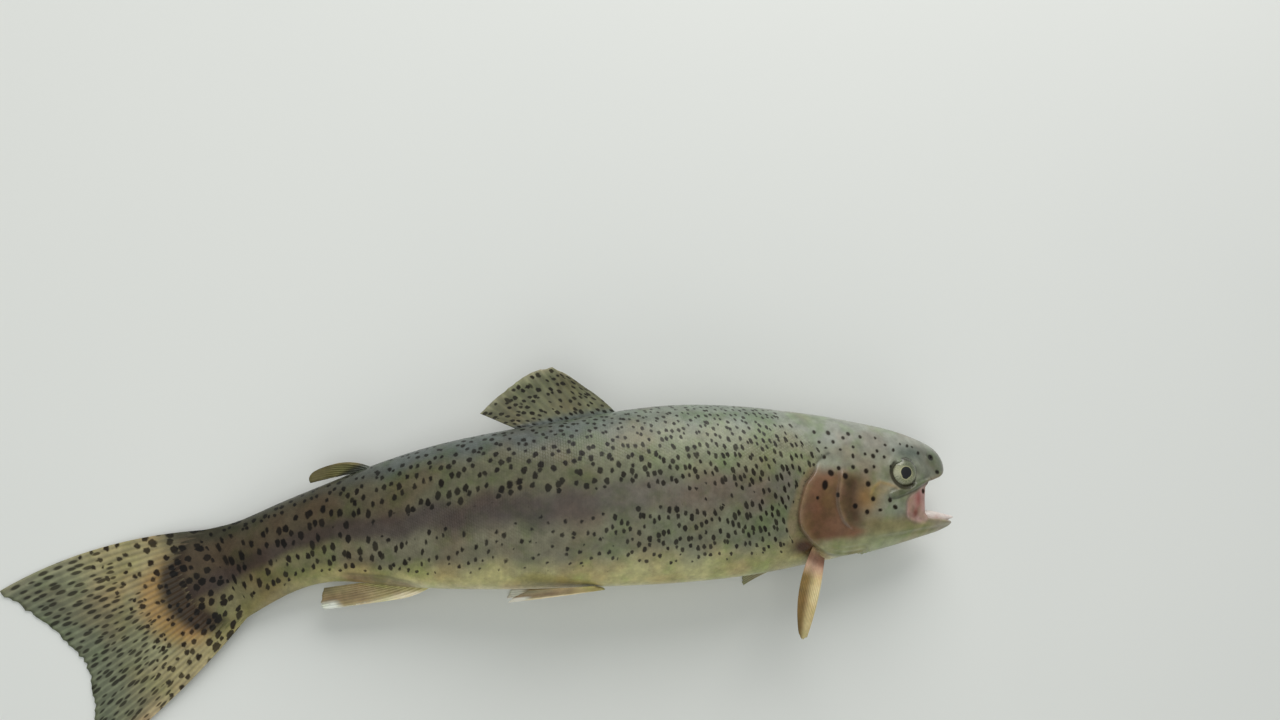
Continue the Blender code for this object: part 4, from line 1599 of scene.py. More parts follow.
@dataclass(frozen=True)
class WetHide:
    """Skin, scales and fins: a ground colour, dark spots, and a wet coat."""

    name: str
    spot_size: float = 0.31
    streak_size: float = 0.34
    roughness: float = 0.40
    wetness: float = 0.30
    streaked: bool = False
    leafy: float = 0.65
    grain: float = 0.00012

    def spots(self, shader: Shader, lie: Socket, density: Socket) -> Socket:
        """The share of dark spot at a point, from scattered cells of uneven size.

        Args:
            shader: The material being written.
            lie: The point's place among the cells, with the spots' size as its third part.
            density: The share of cells that hold a spot.

        Returns:
            1 in a spot and 0 outside it.
        """
        wobble = shader.noise(lie, 1.7, 2.0)
        push = shader.node("ShaderNodeTexNoise", {}, {"Vector": lie, "Scale": 2.9}, 1)
        values = {0: push, 1: (0.33, 0.33, 0), 2: lie}
        pushed = shader.node("ShaderNodeVectorMath", {"operation": "MULTIPLY_ADD"}, values)
        away, chance, girth, fade = shader.cells(pushed, 0.85)
        size = (girth * 0.40 + 0.72) * self.spot_size * density.step(chance * 0.8, chance * 0.8 + 0.25)
        size = size * (wobble * 0.5 + 0.75) * shader.parts(lie)[2]
        return (1.0 - away.step(size - 0.09, size + 0.06)) * (1.0 - fade * 0.12)

    def streaks(self, shader: Shader) -> Socket:
        """The share of dark streak at a point of a fin, along its rays.

        Args:
            shader: The material being written.

        Returns:
            Near 1 in a streak and 0 outside it.
        """
        streak = shader.attribute("streak")
        _, _, weight = shader.parts(streak)
        away, chance, girth, _ = shader.cells(streak, 0.8)
        size = (girth * 0.5 + 0.6) * self.streak_size * weight.step(chance * 0.8, chance * 0.8 + 0.25)
        return (1.0 - away.step(size - 0.12, size + 0.08)) * 0.85

    def ground(self, shader: Shader, place: Socket, mottle: Socket, cloud: Socket) -> Socket:
        """The hide's own colour, mottled and clouded with pink and green.

        Args:
            shader: The material being written.
            place: The point's place.
            mottle: A fine noise.
            cloud: A broad noise.

        Returns:
            The colour.
        """
        grey = shader.node("ShaderNodeCombineColor", {}, {0: mottle, 1: mottle, 2: mottle})
        hide = shader.mixed(0.55, shader.attribute("hide", "Color"), grey, "OVERLAY")
        green = shader.noise(place, 85.0, 3.0, 0.6)
        hide = shader.times(cloud.step(0.42, 0.70) * 0.50, hide, tint(240, 204, 186))
        return shader.times(green.step(0.45, 0.70) * self.leafy, hide, tint(206, 230, 180))

    def material(self) -> bpy.types.Material:
        """Makes the finish.

        Returns:
            The material.
        """
        shader = Shader(self.name)
        place = shader.node("ShaderNodeTexCoord", output="Object")
        own, density, rim = shader.parts(shader.attribute("trait"))
        mottle = shader.noise(place, 240.0, 4.0, 0.6)
        cloud = shader.noise(place, 55.0, 3.0)
        hide = self.ground(shader, place, mottle, cloud)
        spots = self.spots(shader, shader.attribute("lie"), density).larger(own)
        if self.streaked:
            spots = spots.larger(self.streaks(shader))
        dark = shader.mixed(rim * 0.03, shader.times(spots, hide, SPOT_SHADE), tint(50, 50, 38))
        height = shader.noise(place, 900.0, 2.0) * 0.5 + mottle * 0.5
        return shader.feed(
            Base_Color=dark,
            Roughness=self.roughness + (cloud - 0.5) * 0.12 + spots * 0.06,
            Coat_Weight=(1.0 - spots * 0.95) * self.wetness,
            Coat_Roughness=0.2,
            Specular_IOR_Level=0.25,
            Normal=shader.bump(height, self.grain, 0.6),
        )


@dataclass(frozen=True)
class EyeGlaze:
    """The eye: a black pear-shaped pupil in a brassy iris under a clear glaze, with the brow's shadow painted
    over the iris's top front and a highlight painted at its rear.
    """

    name: str = "eye_glaze"
    pupil: float = 2.5
    iris: float = 5.6

    def material(self) -> bpy.types.Material:
        """Makes the finish, from the place on the eye in millimetres that its mesh carries.

        Returns:
            The material.
        """
        shader = Shader(self.name)
        forward, up, _ = shader.parts(shader.attribute("iris"))
        up = up + 0.5
        away = shader.maths("SQRT", forward * forward + up * up * 1.15)
        turn = shader.maths("ARCTAN2", up, forward)
        rim = shader.maths("COSINE", turn + 1.85).step(0.75, 1.0) * 0.55 + self.pupil
        fan = shader.node("ShaderNodeCombineXYZ", {}, {0: turn * 3.0, 1: away * 0.35})
        streak = shader.node("ShaderNodeTexNoise", {}, {"Vector": fan, "Scale": 3.0, "Detail": 4.0})
        ground = shader.mixed(streak.step(0.3, 0.7), tint(104, 106, 78), tint(154, 155, 122))
        # painted shadow of the brow over the iris's top front
        shade = shader.maths("COSINE", turn - 0.9).step(0.1, 0.95) * 0.62
        # painted highlight on the iris's rear side
        painted_highlight = shader.maths("COSINE", turn - 3.0).step(0.75, 1.0) * 0.4
        ring = away.step(rim, rim + 0.12) * (1.0 - away.step(rim + 0.2, rim + 0.55)) * 0.45
        edge = away.step(self.iris - 0.7, self.iris + 0.2) * 0.8
        layers = (
            (shade, tint(60, 70, 54)),
            (painted_highlight, tint(192, 190, 156)),
            (ring, tint(206, 200, 150)),
            (edge, tint(44, 42, 28)),
        )
        for share, tone in layers:
            ground = shader.mixed(share, ground, tone)
        colour = shader.mixed(1.0 - away.step(rim - 0.1, rim + 0.1), ground, tint(6, 7, 5))
        return shader.feed(Base_Color=colour, Roughness=0.4, Coat_Weight=0.7, Coat_Roughness=0.04)


@dataclass(frozen=True)
class MouthFlesh:
    """The tongue: pale, wet and faintly pink."""

    name: str = "mouth_flesh"

    def material(self) -> bpy.types.Material:
        """Makes the finish.

        Returns:
            The material.
        """
        shader = Shader(self.name)
        place = shader.node("ShaderNodeTexCoord", output="Object")
        cloud = shader.noise(place, 160.0, 4.0, 0.6)
        colour = shader.mixed(cloud.step(0.35, 0.75), tint(226, 216, 208), tint(204, 178, 170))
        bump = shader.bump(shader.noise(place, 1500.0, 2.0), 0.0001, 0.5)
        return shader.feed(Base_Color=colour, Roughness=0.3, Coat_Weight=0.6, Coat_Roughness=0.1, Normal=bump)


@dataclass(frozen=True)
class StudioFloor:
    """A plain pale floor."""

    name: str = "studio_floor"

    def material(self) -> bpy.types.Material:
        """Makes the finish.

        Returns:
            The material.
        """
        shader = Shader(self.name)
        place = shader.node("ShaderNodeTexCoord", output="Object")
        cloud = shader.noise(place, 3.0, 3.0)
        colour = shader.mixed(cloud, tint(222, 224, 221), tint(228, 229, 225))
        return shader.feed(Base_Color=colour, Roughness=0.75)


# ---- Sub-assemblies ----


@dataclass
class Skin:
    """One closed skin: the sculpted head joined to the body's fine loft."""

    plan: BodyPlan
    sculpt: HeadSculpt
    markings: Markings
    join_back: float = 81.0
    around: int = 132
    step: float = 1.25

    def loft(self) -> tuple[Array, Array]:
        """The body behind the join, as points and faces, closed at the tail.

        Returns:
            The points and the faces.
        """
        start = float(self.plan.along_at(np.array(self.join_back + 0.9), np.array(0.0)))
        end = self.plan.length + self.plan.web_long
        straight = np.arange(start, end - 1.5, self.step)
        along = np.concatenate([straight, end - np.geomspace(1.2, 0.02, 6)])
        angle = (np.arange(self.around) + 0.5) * math.tau / self.around
        a, t = np.meshgrid(along, angle, indexing="ij")
        rows, *_ = self.plan.shell(a, t, -COAT_DEPTH * (1 - ease(a, self.plan.length, end - 8)))
        return np.concatenate(rows), ring_faces(len(rows), self.around)

    @staticmethod
    def rim(bm: bmesh.types.BMesh, first: int, count: int) -> list[bmesh.types.BMEdge]:
        """The open edges that run between some of a mesh's points.

        Args:
            bm: The mesh.
            first: The first point's number.
            count: How many points there are from it on.

        Returns:
            The edges.
        """
        ring = set(bm.verts[first : first + count])
        return [edge for edge in bm.edges if edge.is_boundary and set(edge.verts) <= ring]

    def mesh(self) -> bpy.types.Mesh:
        """The whole skin as one mesh in metres.

        Returns:
            The mesh.
        """
        bm = bmesh.new()
        bm.from_mesh(build_mesh("head", *self.sculpt.mesh()))
        plane = (self.join_back * MM, 0, 0)
        everything = bm.verts[:] + bm.edges[:] + bm.faces[:]
        bmesh.ops.bisect_plane(bm, geom=everything, plane_co=plane, plane_no=(1, 0, 0), clear_outer=True)
        for vert in bm.verts:
            vert.co = Vector(self.plan.place(np.array(vert.co) / MM)) * MM
        head_rim = [edge for edge in bm.edges if edge.is_boundary]
        marked = len(bm.verts)
        bm.from_mesh(build_mesh("body", *self.loft()))
        bm.verts.ensure_lookup_table()
        body_rim = self.rim(bm, marked, self.around)
        tail_rim = self.rim(bm, len(bm.verts) - self.around, self.around)
        bmesh.ops.bridge_loops(bm, edges=head_rim + body_rim)
        bmesh.ops.contextual_create(bm, geom=tail_rim)
        mesh = bpy.data.meshes.new("skin")
        bm.to_mesh(mesh)
        bm.free()
        return close_up(mesh)

    def build(self, finish: WetHide) -> None:
        """Makes the skin and hides the solids that it stands for.

        Args:
            finish: What it is dressed in.
        """
        mesh = self.mesh()
        x, rise, height = mesh_points(mesh).T
        back = self.plan.snout_x - x
        places = np.stack([back, rise, height - self.plan.plane(back)], -1)
        along = self.plan.along_at(back, rise)
        self.markings.looks(places, along, self.plan.share_at(rise, along)).attach(mesh)
        piece = show("skin", mesh, finish.material())
        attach(piece, ROOT_BODY)
        flesh = ["head", "lower_jaw", "trunk", "rear_trunk", "tail_stalk"]
        plates = ["gill_cover_right", "gill_cover_left", "maxilla_right", "maxilla_left"]
        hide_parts(*flesh, *plates)
        report(piece)


class CoatStretch(Enum):
    """The stretches of the scale coat from the gill cover to the tail, with as many scales in each."""

    NAPE = "scales_nape"
    SHOULDER = "scales_shoulder"
    MIDDLE = "scales_middle"
    LOIN = "scales_loin"
    VENT = "scales_vent"
    STALK = "scales_stalk"
    TAIL = "scales_tail_root"


@dataclass
class ScaleCoat:
    """Overlapping scales, laid in rows from the gill cover to the tail."""

    plan: BodyPlan
    markings: Markings
    first_row: float = 60.0
    web_share: float = 0.8
    pitch: float = 1.95
    row_pitch: float = 1.42
    overlap: float = 1.6
    breadth: float = 0.8235
    lift: float = 0.055
    edge_shade: float = 0.2
    sides: int = 9
    patch: float = 0.0014

    def roots(self) -> Array:
        """Where the scales are rooted.

        Returns:
            Three rows: distances along the middle line, turns round the body, and sizes as shares.
        """
        rows = []
        along, column = self.first_row, 0
        fine = np.linspace(0, math.tau, 721)
        while along < self.plan.length + self.plan.web_long * self.web_share:
            size = float(mix(1.0, 0.66, ease(along, 170, 300)))
            ring = self.plan.place(self.plan.surface(np.full(fine.shape, along), fine)[0])
            length = np.concatenate([[0], np.cumsum(np.linalg.norm(np.diff(ring, axis=0), axis=1))])
            count = int(length[-1] / (self.row_pitch * size))
            at = (np.arange(count) + 0.5 * (column % 2)) * length[-1] / count
            rows.append(np.stack([np.full(count, along), np.interp(at, length, fine), np.full(count, size)]))
            along += self.pitch * size * 0.5
            column += 1
        return np.concatenate(rows, axis=1)

    def kept(self, along: Array, angle: Array) -> Array:
        """Whether a scale is wanted: none on the head or under the gill cover's edge."""
        back, rise, _ = self.plan.surface(along, angle)[0].T
        return (self.markings.head.scaled(back, rise) > 0.9) & (back > 66)

    def build(self, finish: WetHide) -> None:
        """Makes every stretch of the coat.

        Args:
            finish: What it is dressed in.
        """
        roots = self.roots()
        along, angle, size = roots[:, self.kept(roots[0], roots[1])]
        material = finish.material()
        order = np.argsort(along, kind="stable")
        for stretch, mine in zip(CoatStretch, np.array_split(order, len(CoatStretch))):
            mesh = self.stretch_mesh(stretch.value, along[mine], angle[mine], size[mine])
            piece = show(stretch.value, mesh, material)
            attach(piece, ROOT_BODY)
            report(piece)

    def template(self) -> tuple[Array, Array]:
        """One scale's points as (tailwards, round, lift, rim) rows, and its three-cornered faces.

        Returns:
            The points and the faces.
        """
        n = self.sides
        turns = np.arange(n) * math.tau / n
        tail, across = np.cos(turns), np.sin(turns)
        across = across * np.where(tail > 0, 1.0, 1.0 + 0.12 * tail)
        rim = np.stack([tail, across, np.where(tail > -0.2, 0.0, -0.08), np.ones(n)], 1)
        inner = np.stack([tail * 0.58, across * 0.58, np.full(n, 0.025), np.zeros(n)], 1)
        crown, under = (0.0, 0.0, 0.03, 0.0), (-0.1, 0.0, -0.16, 0.0)
        i = np.arange(n)
        j = (i + 1) % n
        top, bottom = np.full(n, 2 * n), np.full(n, 2 * n + 1)
        corners = (i, j, n + j), (i, n + j, n + i), (n + i, n + j, top), (j, i, bottom)
        return np.vstack([rim, inner, crown, under]), np.vstack([np.stack(trio, 1) for trio in corners])

    def laid(self, along: Array, angle: Array, size: Array, shape: Array) -> tuple[Array, Array]:
        """Where the scales' points lie on the body.

        Args:
            along: The scales' distances along the middle line.
            angle: Their turns round the body.
            size: Their sizes as shares.
            shape: The template's points.

        Returns:
            The points' own distances along and turns round, one row for each scale.
        """
        nudge = 0.02
        here, turned = (self.plan.place(self.plan.surface(along, turn)[0]) for turn in (angle, angle + nudge))
        per_turn = np.linalg.norm(turned - here, axis=1) / nudge
        radius = self.plan.sections(np.minimum(along, self.plan.length)).radius
        half_long = self.pitch * size * self.overlap / 2
        half_turn = self.row_pitch * size * self.breadth / np.maximum(per_turn, radius * 0.3)
        at_along = along[:, None] + shape[:, 0] * half_long[:, None]
        at_angle = angle[:, None] + shape[:, 1] * half_turn[:, None]
        return np.clip(at_along, 1.0, self.plan.length + self.plan.web_long * 0.98), at_angle

    def heights(self, places: Array, along: Array, shape: Array) -> Array:
        """How high the scales' points stand over the body: sunk where the head meets it, thin on the tail.

        Args:
            places: The scales' roots, (back, rise, out).
            along: Their distances along the middle line.
            shape: The template's points.

        Returns:
            Heights, one row for each scale.
        """
        head = self.markings.head
        back, rise, _ = places.T
        web = ease(along, self.plan.length, self.plan.length + self.plan.web_long * self.web_share)
        base = -COAT_DEPTH * head.inset(back, rise) * (1 - web)
        base += mix(-0.05, 0.13, ease(head.bare_away(back, rise), 0.3, 6.0)) * (1 - web) - 0.03 * web
        return self.lift * (0.7 + 0.8 * shape[:, 0]) + shape[:, 2] + base[:, None]

    def stretch_mesh(self, name: str, along: Array, angle: Array, size: Array) -> bpy.types.Mesh:
        """One stretch of the coat as a joined mesh of closed scales.

        Args:
            name: The mesh's name.
            along: The scales' distances along the middle line.
            angle: Their turns round the body.
            size: Their sizes as shares.

        Returns:
            The mesh, with its looks and its bake map.
        """
        shape, faces = self.template()
        roots, _ = self.plan.surface(along, angle)
        at_along, at_angle = self.laid(along, angle, size, shape)
        lift = self.heights(roots, along, shape)
        points, places, share, outward = self.plan.shell(at_along, at_angle, lift)
        count, per = at_along.shape
        corners = ((np.arange(count) * per)[:, None, None] + faces).reshape(-1, 3)
        mesh = build_mesh(name, points.reshape(-1, 3), corners)
        self.calm(mesh, outward.reshape(-1, 3))
        rim = np.broadcast_to(shape[:, 3] * ease(shape[:, 0], -0.3, 0.6), (count, per))
        inside = np.minimum(at_along, self.plan.length)
        looks = self.markings.looks(places.reshape(-1, 3), inside.ravel(), share.ravel(), rim.ravel())
        rng = np.random.default_rng(count)
        bare = self.markings.head.bare_away(roots[:, 0], roots[:, 1])
        nape = (1 - ease(bare, 0, 16)) * ease(places[:, 0, 1], 12, 18)
        looks.hide[:] *= np.repeat(rng.uniform(0.79, 0.91, count) + 0.12 * nape, per)[:, None]
        looks.attach(mesh)
        self.lay_patches(mesh, corners, along, angle, shape)
        return mesh

    def calm(self, mesh: bpy.types.Mesh, outward: Array) -> None:
        """Leans the scales' shading towards the body's own, so that they glint as one sheet.

        Args:
            mesh: The coat's mesh.
            outward: The body's outward direction at each of its points.
        """
        own = np.zeros(outward.size, np.float32)
        mesh.vertex_normals.foreach_get("vector", own)
        mesh.normals_split_custom_set_from_vertices(mix(outward, own.reshape(-1, 3), self.edge_shade))

    def lay_patches(
        self, mesh: bpy.types.Mesh, corners: Array, along: Array, angle: Array, shape: Array
    ) -> None:
        """Gives the coat its bake map: each scale a small patch at its root's place on the unrolled skin.

        Args:
            mesh: The coat's mesh.
            corners: Its faces' corner numbers.
            along: The scales' distances along the middle line.
            angle: Their turns round the body.
            shape: The template's points.
        """
        across = 0.01 + 0.98 * (angle % math.tau) / math.tau
        down = 0.01 + 0.98 * along / (self.plan.length + self.plan.web_long)
        u = across[:, None] + shape[:, 1] * self.patch
        v = down[:, None] + shape[:, 0] * self.patch
        spread = np.stack([u.ravel(), v.ravel()], 1)[corners.ravel()]
        layer = mesh.uv_layers.new(name="OFBake")
        layer.data.foreach_set("uv", spread.astype(np.float32).ravel())


@dataclass
class Eyes:
    """Both eyes, each a flattened ball set square to the head."""

    form: HeadForm
    shrink: float = 0.12
    rings: int = 40
    around: int = 72

    def build(self, finish: EyeGlaze) -> None:
        """Makes both eyes.

        Args:
            finish: What it is dressed in.
        """
        material = finish.material()
        for side, name in ((1, "eye_right"), (-1, "eye_left")):
            piece = show(f"{name}_ball", self.ball(side), material)
            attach(piece, ROOT_BODY)
            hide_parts(name)
            report(piece)

    def ball(self, side: int) -> bpy.types.Mesh:
        """One eyeball, with each point's place on the iris stored on it.

        Args:
            side: 1 for the right one and -1 for the left.

        Returns:
            The mesh.
        """
        form = self.form
        middle, normal = form.eye_frame(side)
        outward = normal * (-1, 1, 1)
        forward = unit(np.array([1.0, 0, 0]) - outward * outward[0])
        up = np.cross(outward, forward) * side
        lean = np.linspace(0, math.pi, self.rings + 1)[:, None]
        turn = np.arange(self.around) * math.tau / self.around
        wide = (form.eye_radius - self.shrink) * np.sin(lean)
        deep = (form.eye_radius * form.eye_flatness - self.shrink) * np.cos(lean) + 0 * turn
        x, y = wide * np.cos(turn), wide * np.sin(turn)
        sheet = x[..., None] * forward + y[..., None] * up
        points = form.plan.place(middle) + sheet + deep[..., None] * outward
        mesh = build_mesh("eyeball", points.reshape(-1, 3), ring_faces(self.rings + 1, self.around))
        set_points(mesh, "iris", np.stack([x, y, 0 * x], -1))
        return close_up(mesh, WELD)


@dataclass
class Tongue:
    """The pale tongue on the floor of the mouth."""

    plan: BodyPlan
    middle: float = 5.9
    half_long: float = 9.0
    rings: int = 36
    around: int = 40

    def mesh(self) -> bpy.types.Mesh:
        """The tongue, flatter on top towards its tip and hollowed a little along its middle.

        Returns:
            The mesh.
        """
        lean = np.linspace(0, math.pi, self.rings + 1)[:, None]
        turn = np.arange(self.around) * math.tau / self.around
        long = -np.cos(lean) + 0 * turn
        full = np.sin(lean) ** 0.75
        up, wide = full * np.sin(turn), full * np.cos(turn)
        groove = 0.10 * bell(wide, 0.25) * (up > 0)
        top, low = mix(-10.5, -7.5, ease(long, -1.15, 1.1)), mix(-12.7, -14.2, ease(long, -1, -0.2))
        rise = (top + low) / 2 + (top - low) / 2 * (up - groove)
        out = mix(1.3, 3.9, ease(long, -1.1, 0.5)) * wide
        places = np.stack([self.middle + self.half_long * long, rise, out], -1)
        points = self.plan.place(places).reshape(-1, 3)
        return close_up(build_mesh("tongue", points, ring_faces(self.rings + 1, self.around)), WELD)

    def build(self, finish: MouthFlesh) -> None:
        """Makes the tongue.

        Args:
            finish: What it is dressed in.
        """
        piece = show("tongue_flesh", self.mesh(), finish.material())
        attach(piece, ROOT_BODY)
        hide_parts("tongue")
        report(piece)


# ---- Fins ----

Rays = tuple[Array, Array, Array]
RayRule = Callable[[Array], Rays]
ColourRule = Callable[[Array, Array], Array]


@dataclass
class Fin:
    """A rayed fin: bony rays fanned from its base, with thin skin between them."""

    node: str
    rays: int
    rule: RayRule
    colour: ColourRule
    root_thick: float = 1.0
    tip_thick: float = 0.34
    fray: float = 0.02
    per_ray: int = 8
    rows: int = 44
    sunk: float = 0.10
    joins: Point = (-0.02, 0.16)
    ribbing: float = 0.25
    spotted: float = 0.0
    streaked: float = 0.1

    def grid(self) -> tuple[Array, Array, Array]:
        """Places on the fin's middle sheet, and each one's shares across and along.

        Returns:
            The places and the two kinds of shares.
        """
        u = np.linspace(0, 1, self.rays * self.per_ray + 1)
        v = np.linspace(-self.sunk, 1, self.rows + 1)
        root, bend, tip = self.rule(u)
        between = np.abs(np.sin(math.pi * self.rays * u))
        rng = np.random.default_rng(len(self.node) * 7 + self.rays)
        branches = 2 * self.rays
        ragged = np.interp(u * branches, np.arange(branches + 1), rng.uniform(0, 1, branches + 1))
        reach = 1 - self.fray * (between * 0.3 + ragged)
        w = v[None, :] * np.where(v > 0, reach[:, None], 1.0)
        a, b, c = ((1 - w) ** 2)[..., None], (2 * w * (1 - w))[..., None], (w**2)[..., None]
        places = root[:, None] * a + bend[:, None] * b + tip[:, None] * c
        return places, np.broadcast_to(u[:, None], w.shape), np.broadcast_to(v[None, :], w.shape)

    def thickness(self, u: Array, v: Array) -> Array:
        """Half the fin's thickness: ribbed by its rays, which branch towards the edge.

        Args:
            u, v: Shares across the fin and out along its rays.

        Returns:
            The half thicknesses.
        """
        single = np.abs(np.cos(math.pi * self.rays * u))
        branched = np.abs(np.cos(2 * math.pi * self.rays * u))
        rib = mix(single, branched, ease(v, 0.42, 0.75))
        full = mix(self.root_thick, self.tip_thick, ease(v, -0.05, 1.0))
        edge = np.sqrt(np.clip(1 - v, 0.0, 1.0) / 0.03).clip(0, 1)
        side = np.sqrt(np.clip(np.minimum(u, 1 - u) * self.rays, 0.0, 1.0) / 0.5).clip(0.25, 1)
        return full / 2 * (0.42 + 0.58 * rib**2) * mix(0.25, 1.0, edge) * side

    def stripes(self, u: Array, v: Array) -> Array:
        """How dark the skin between the rays and their branches is.

        Args:
            u, v: Shares across the fin and out along its rays.

        Returns:
            The shares of dark.
        """
        between = np.abs(np.sin(math.pi * self.rays * u)) ** 3 * ease(v, 0.1, 0.5)
        branch = np.abs(np.sin(2 * math.pi * self.rays * u)) ** 3 * ease(v, 0.5, 0.8)
        return self.ribbing * between + 0.15 * branch


@dataclass
class Fins:
    """All the fins, built from the rules that the solids follow."""

    plan: BodyPlan
    markings: Markings
    gap: float = 0.39

    def median(
        self, base: Point, front: Point, rear: Point, leading: float,
        swell: float, bow: float, above: int, blunt: float,
    ) -> RayRule:
        """The rule of a fin in the middle plane.

        Args:
            base: Where its base starts and ends behind the snout.
            front: Its front outer corner.
            rear: Its rear outer corner.
            leading: The share of its rays that end on the leading edge.
            swell: How far its rear edge swells.
            bow: How far its leading edge bows outwards.
            above: 1 on the back and -1 on the belly.
            blunt: How far its front outer corner is rounded off.

        Returns:
            A function from shares across the fin to roots, bends and tips.
        """
        backs, rises = self.plan.edge(above > 0)

        def rule(u: Array) -> Rays:
            """Roots, bends and tips of the rays.

            Args:
                u: Shares across the fin.

            Returns:
                The three rows of points.
            """
            back = mix(*base, u)
            root = np.stack([back, np.interp(back, backs, rises) + above * self.gap, 0 * u], -1)
            corner, last = np.array([*front, 0.0]), np.array([*rear, 0.0])
            lead = root[0] + (corner - root[0]) * (0.5 + 0.5 * np.clip(u / leading, 0, 1))[:, None]
            share = np.clip((u - leading) / (1 - leading), 0, 1)
            edge = last - corner
            outwards = np.array([abs(edge[1]), above * abs(edge[0]), 0.0]) / np.hypot(*edge[:2])
            trail = corner + edge * share[:, None] + outwards * (swell * np.sin(math.pi * share))[:, None]
            tip = np.where((u < leading)[:, None], lead, trail)
            inwards = (root[len(u) // 2] - corner) / np.linalg.norm(root[len(u) // 2] - corner)
            tip = tip + inwards * (blunt * bell(u - leading, 0.11))[:, None]
            front_bow = np.array([-0.25, above * 1.0, 0.0]) * (bow * (1 - ease(u, 0, 0.6)))[:, None]
            return root, (root + tip) / 2 + front_bow, tip

        return rule

    def adipose(self) -> RayRule:
        """The rule of the small fleshy fin on the tail stalk.

        Returns:
            A function from shares across the fin to roots, bends and tips.
        """
        backs, rises = self.plan.edge(True)

        def rule(u: Array) -> Rays:
            """Roots, bends and tips of its streaks.

            Args:
                u: Shares across the fin.

            Returns:
                The three rows of points.
            """
            back = mix(246.5, 256.0, u)
            root = np.stack([back, np.interp(back, backs, rises) + 0.48, 0 * u], -1)
            bulge = 2.2 * np.sin(math.pi * u) ** 0.7
            tip = np.stack([mix(264.5, 268.5, u) + bulge, mix(8.4, 2.6, u) + 0.2 * bulge, 0 * u], -1)
            bend = (root + tip) / 2 + np.stack([0 * u, mix(3.8, 0.2, u), 0 * u], -1)
            return root, bend, tip

        return rule

    def caudal(self, clear: float = 0.36) -> RayRule:
        """The rule of the tail fin, clear of the body by a gap.

        Args:
            clear: The gap between body and roots.

        Returns:
            A function from shares across the fin to roots, bends and tips.
        """
        fan = self.plan.fan

        def rule(u: Array) -> Rays:
            """Roots, bends and tips of the rays.

            Args:
                u: Shares across the fin.

            Returns:
                The three rows of points.
            """
            v = (2 * u - 1) * 0.995
            root, half, tip = (np.stack([*fan.ray(v, w + 0.0 * v), 0.0 * v]) for w in (0.0, 0.5, 1.0))
            bend = 2 * half - (root + tip) / 2
            root[0] += clear
            return tuple(np.stack([*fan.place(*part[:2]), part[2]], -1) for part in (root, bend, tip))

        return rule

    def paired(
        self, ends: tuple[Point, Point], outs: Point, tips: Sequence[Sequence[float | None]],
        full: float = 2.6, tuck: float = 0.0,
    ) -> RayRule:
        """The rule of a pectoral or pelvic fin.

        Args:
            ends: The front and the rear end of its root.
            outs: How far out those two ends lie.
            tips: Its leading and trailing tips, with None for an out that rests on the floor.
            full: How far its trailing edge bows backwards.
            tuck: How far its middle is drawn up towards the back.

        Returns:
            A function from shares across the fin to roots, bends and tips.
        """
        half = self.plan.fin_thick / 2
        on_floor = tips[0][2] is None
        start, end = (np.array([*place, out]) for place, out in zip(ends, outs))

        def point(place: Sequence[float | None]) -> Array:
            """A tip, laid on the floor where it has no out."""
            back, rise, out = place
            return np.array([back, rise, half - self.plan.plane(back) if out is None else out])

        def rule(u: Array) -> Rays:
            """Roots, bends and tips of the rays.

            Args:
                u: Shares across the fin.

            Returns:
                The three rows of points.
            """
            lead, trail = point(tips[0]), point(tips[1])
            outwards = (lead - start) * (1, 1, 0) / np.hypot(*(lead - start)[:2])
            root = mix(start, end, u[:, None])
            tip = mix(lead, trail, u[:, None]) + outwards * (1.6 * np.sin(math.pi * u))[:, None]
            bend = (root + tip) / 2
            bend[:, 0] += mix(-1.6, full, u) * (0.2 if on_floor else 1.0)
            bend[:, 1] += tuck
            bend[:, 2] += np.copysign(1.2, root[:, 2])
            if on_floor:
                floor = half - self.plan.plane(bend[:, 0])
                bend[:, 2] = np.maximum(mix(root[:, 2], tip[:, 2], 0.78), floor)
            return root, bend, tip

        return rule

    def all(self) -> list[Fin]:
        """Every fin.

        Returns:
            The fins.
        """
        dorsal = self.median((149, 190), (175.5, 52.5), (203.5, 30.5), 0.28, 1.6, 1.2, 1, 2.4)
        anal = self.median((222, 249), (262.2, -46.2), (261.4, -37.8), 0.2, 0.6, 3.2, -1, 0.7)
        right_tips = (71.8, -59.2, 10.5), (74.0, -57.2, 7.5)
        right = self.paired(((61.5, -29.3), (70.3, -25.8)), (6.0, 12.4), right_tips, 5.2)
        left_tips = (88.5, -41.2, None), (86.0, -30.0, None)
        left = self.paired(((61.5, -29.3), (69.3, -25.5)), (-6.0, -12.4), left_tips, tuck=3.2)
        pelvic = ((156.0, -39.4), (161.0, -37.4))
        right_pelvic = self.paired(pelvic, (3.6, 8.8), ((191.5, -43.0, 8.0), (184.0, -38.0, 14.0)))
        left_pelvic = self.paired(pelvic, (-3.6, -8.8), ((190.5, -44.5, None), (183.0, -35.5, None)))
        breast = {"root_thick": 0.9, "tip_thick": 0.3, "joins": (-0.22, 0.01), "ribbing": 0.45}
        belly = {"root_thick": 0.85, "tip_thick": 0.3}
        tail = {"joins": (0.10, 0.34), "ribbing": 0.36, "streaked": 0.95}
        return [
            Fin("dorsal_fin", 13, dorsal, self.dorsal_colour, spotted=0.85, streaked=0.25),
            Fin("adipose_fin", 7, self.adipose(), self.adipose_colour, 2.2, 1.0, 0.004, 5, 24),
            Fin(TAIL_FIN_NODE, 28, self.caudal(), self.caudal_colour, 1.05, 0.36, 0.016, 7, 60, 0.09, **tail),
            Fin("anal_fin", 11, anal, self.anal_colour, spotted=0.04),
            Fin("pectoral_fin_right", 12, right, self.pectoral_colour, **breast),
            Fin("pectoral_fin_left", 12, left, self.far_pectoral_colour, **breast),
            Fin("pelvic_fin_right", 9, right_pelvic, self.anal_colour, **belly),
            Fin("pelvic_fin_left", 9, left_pelvic, self.anal_colour, **belly),
        ]

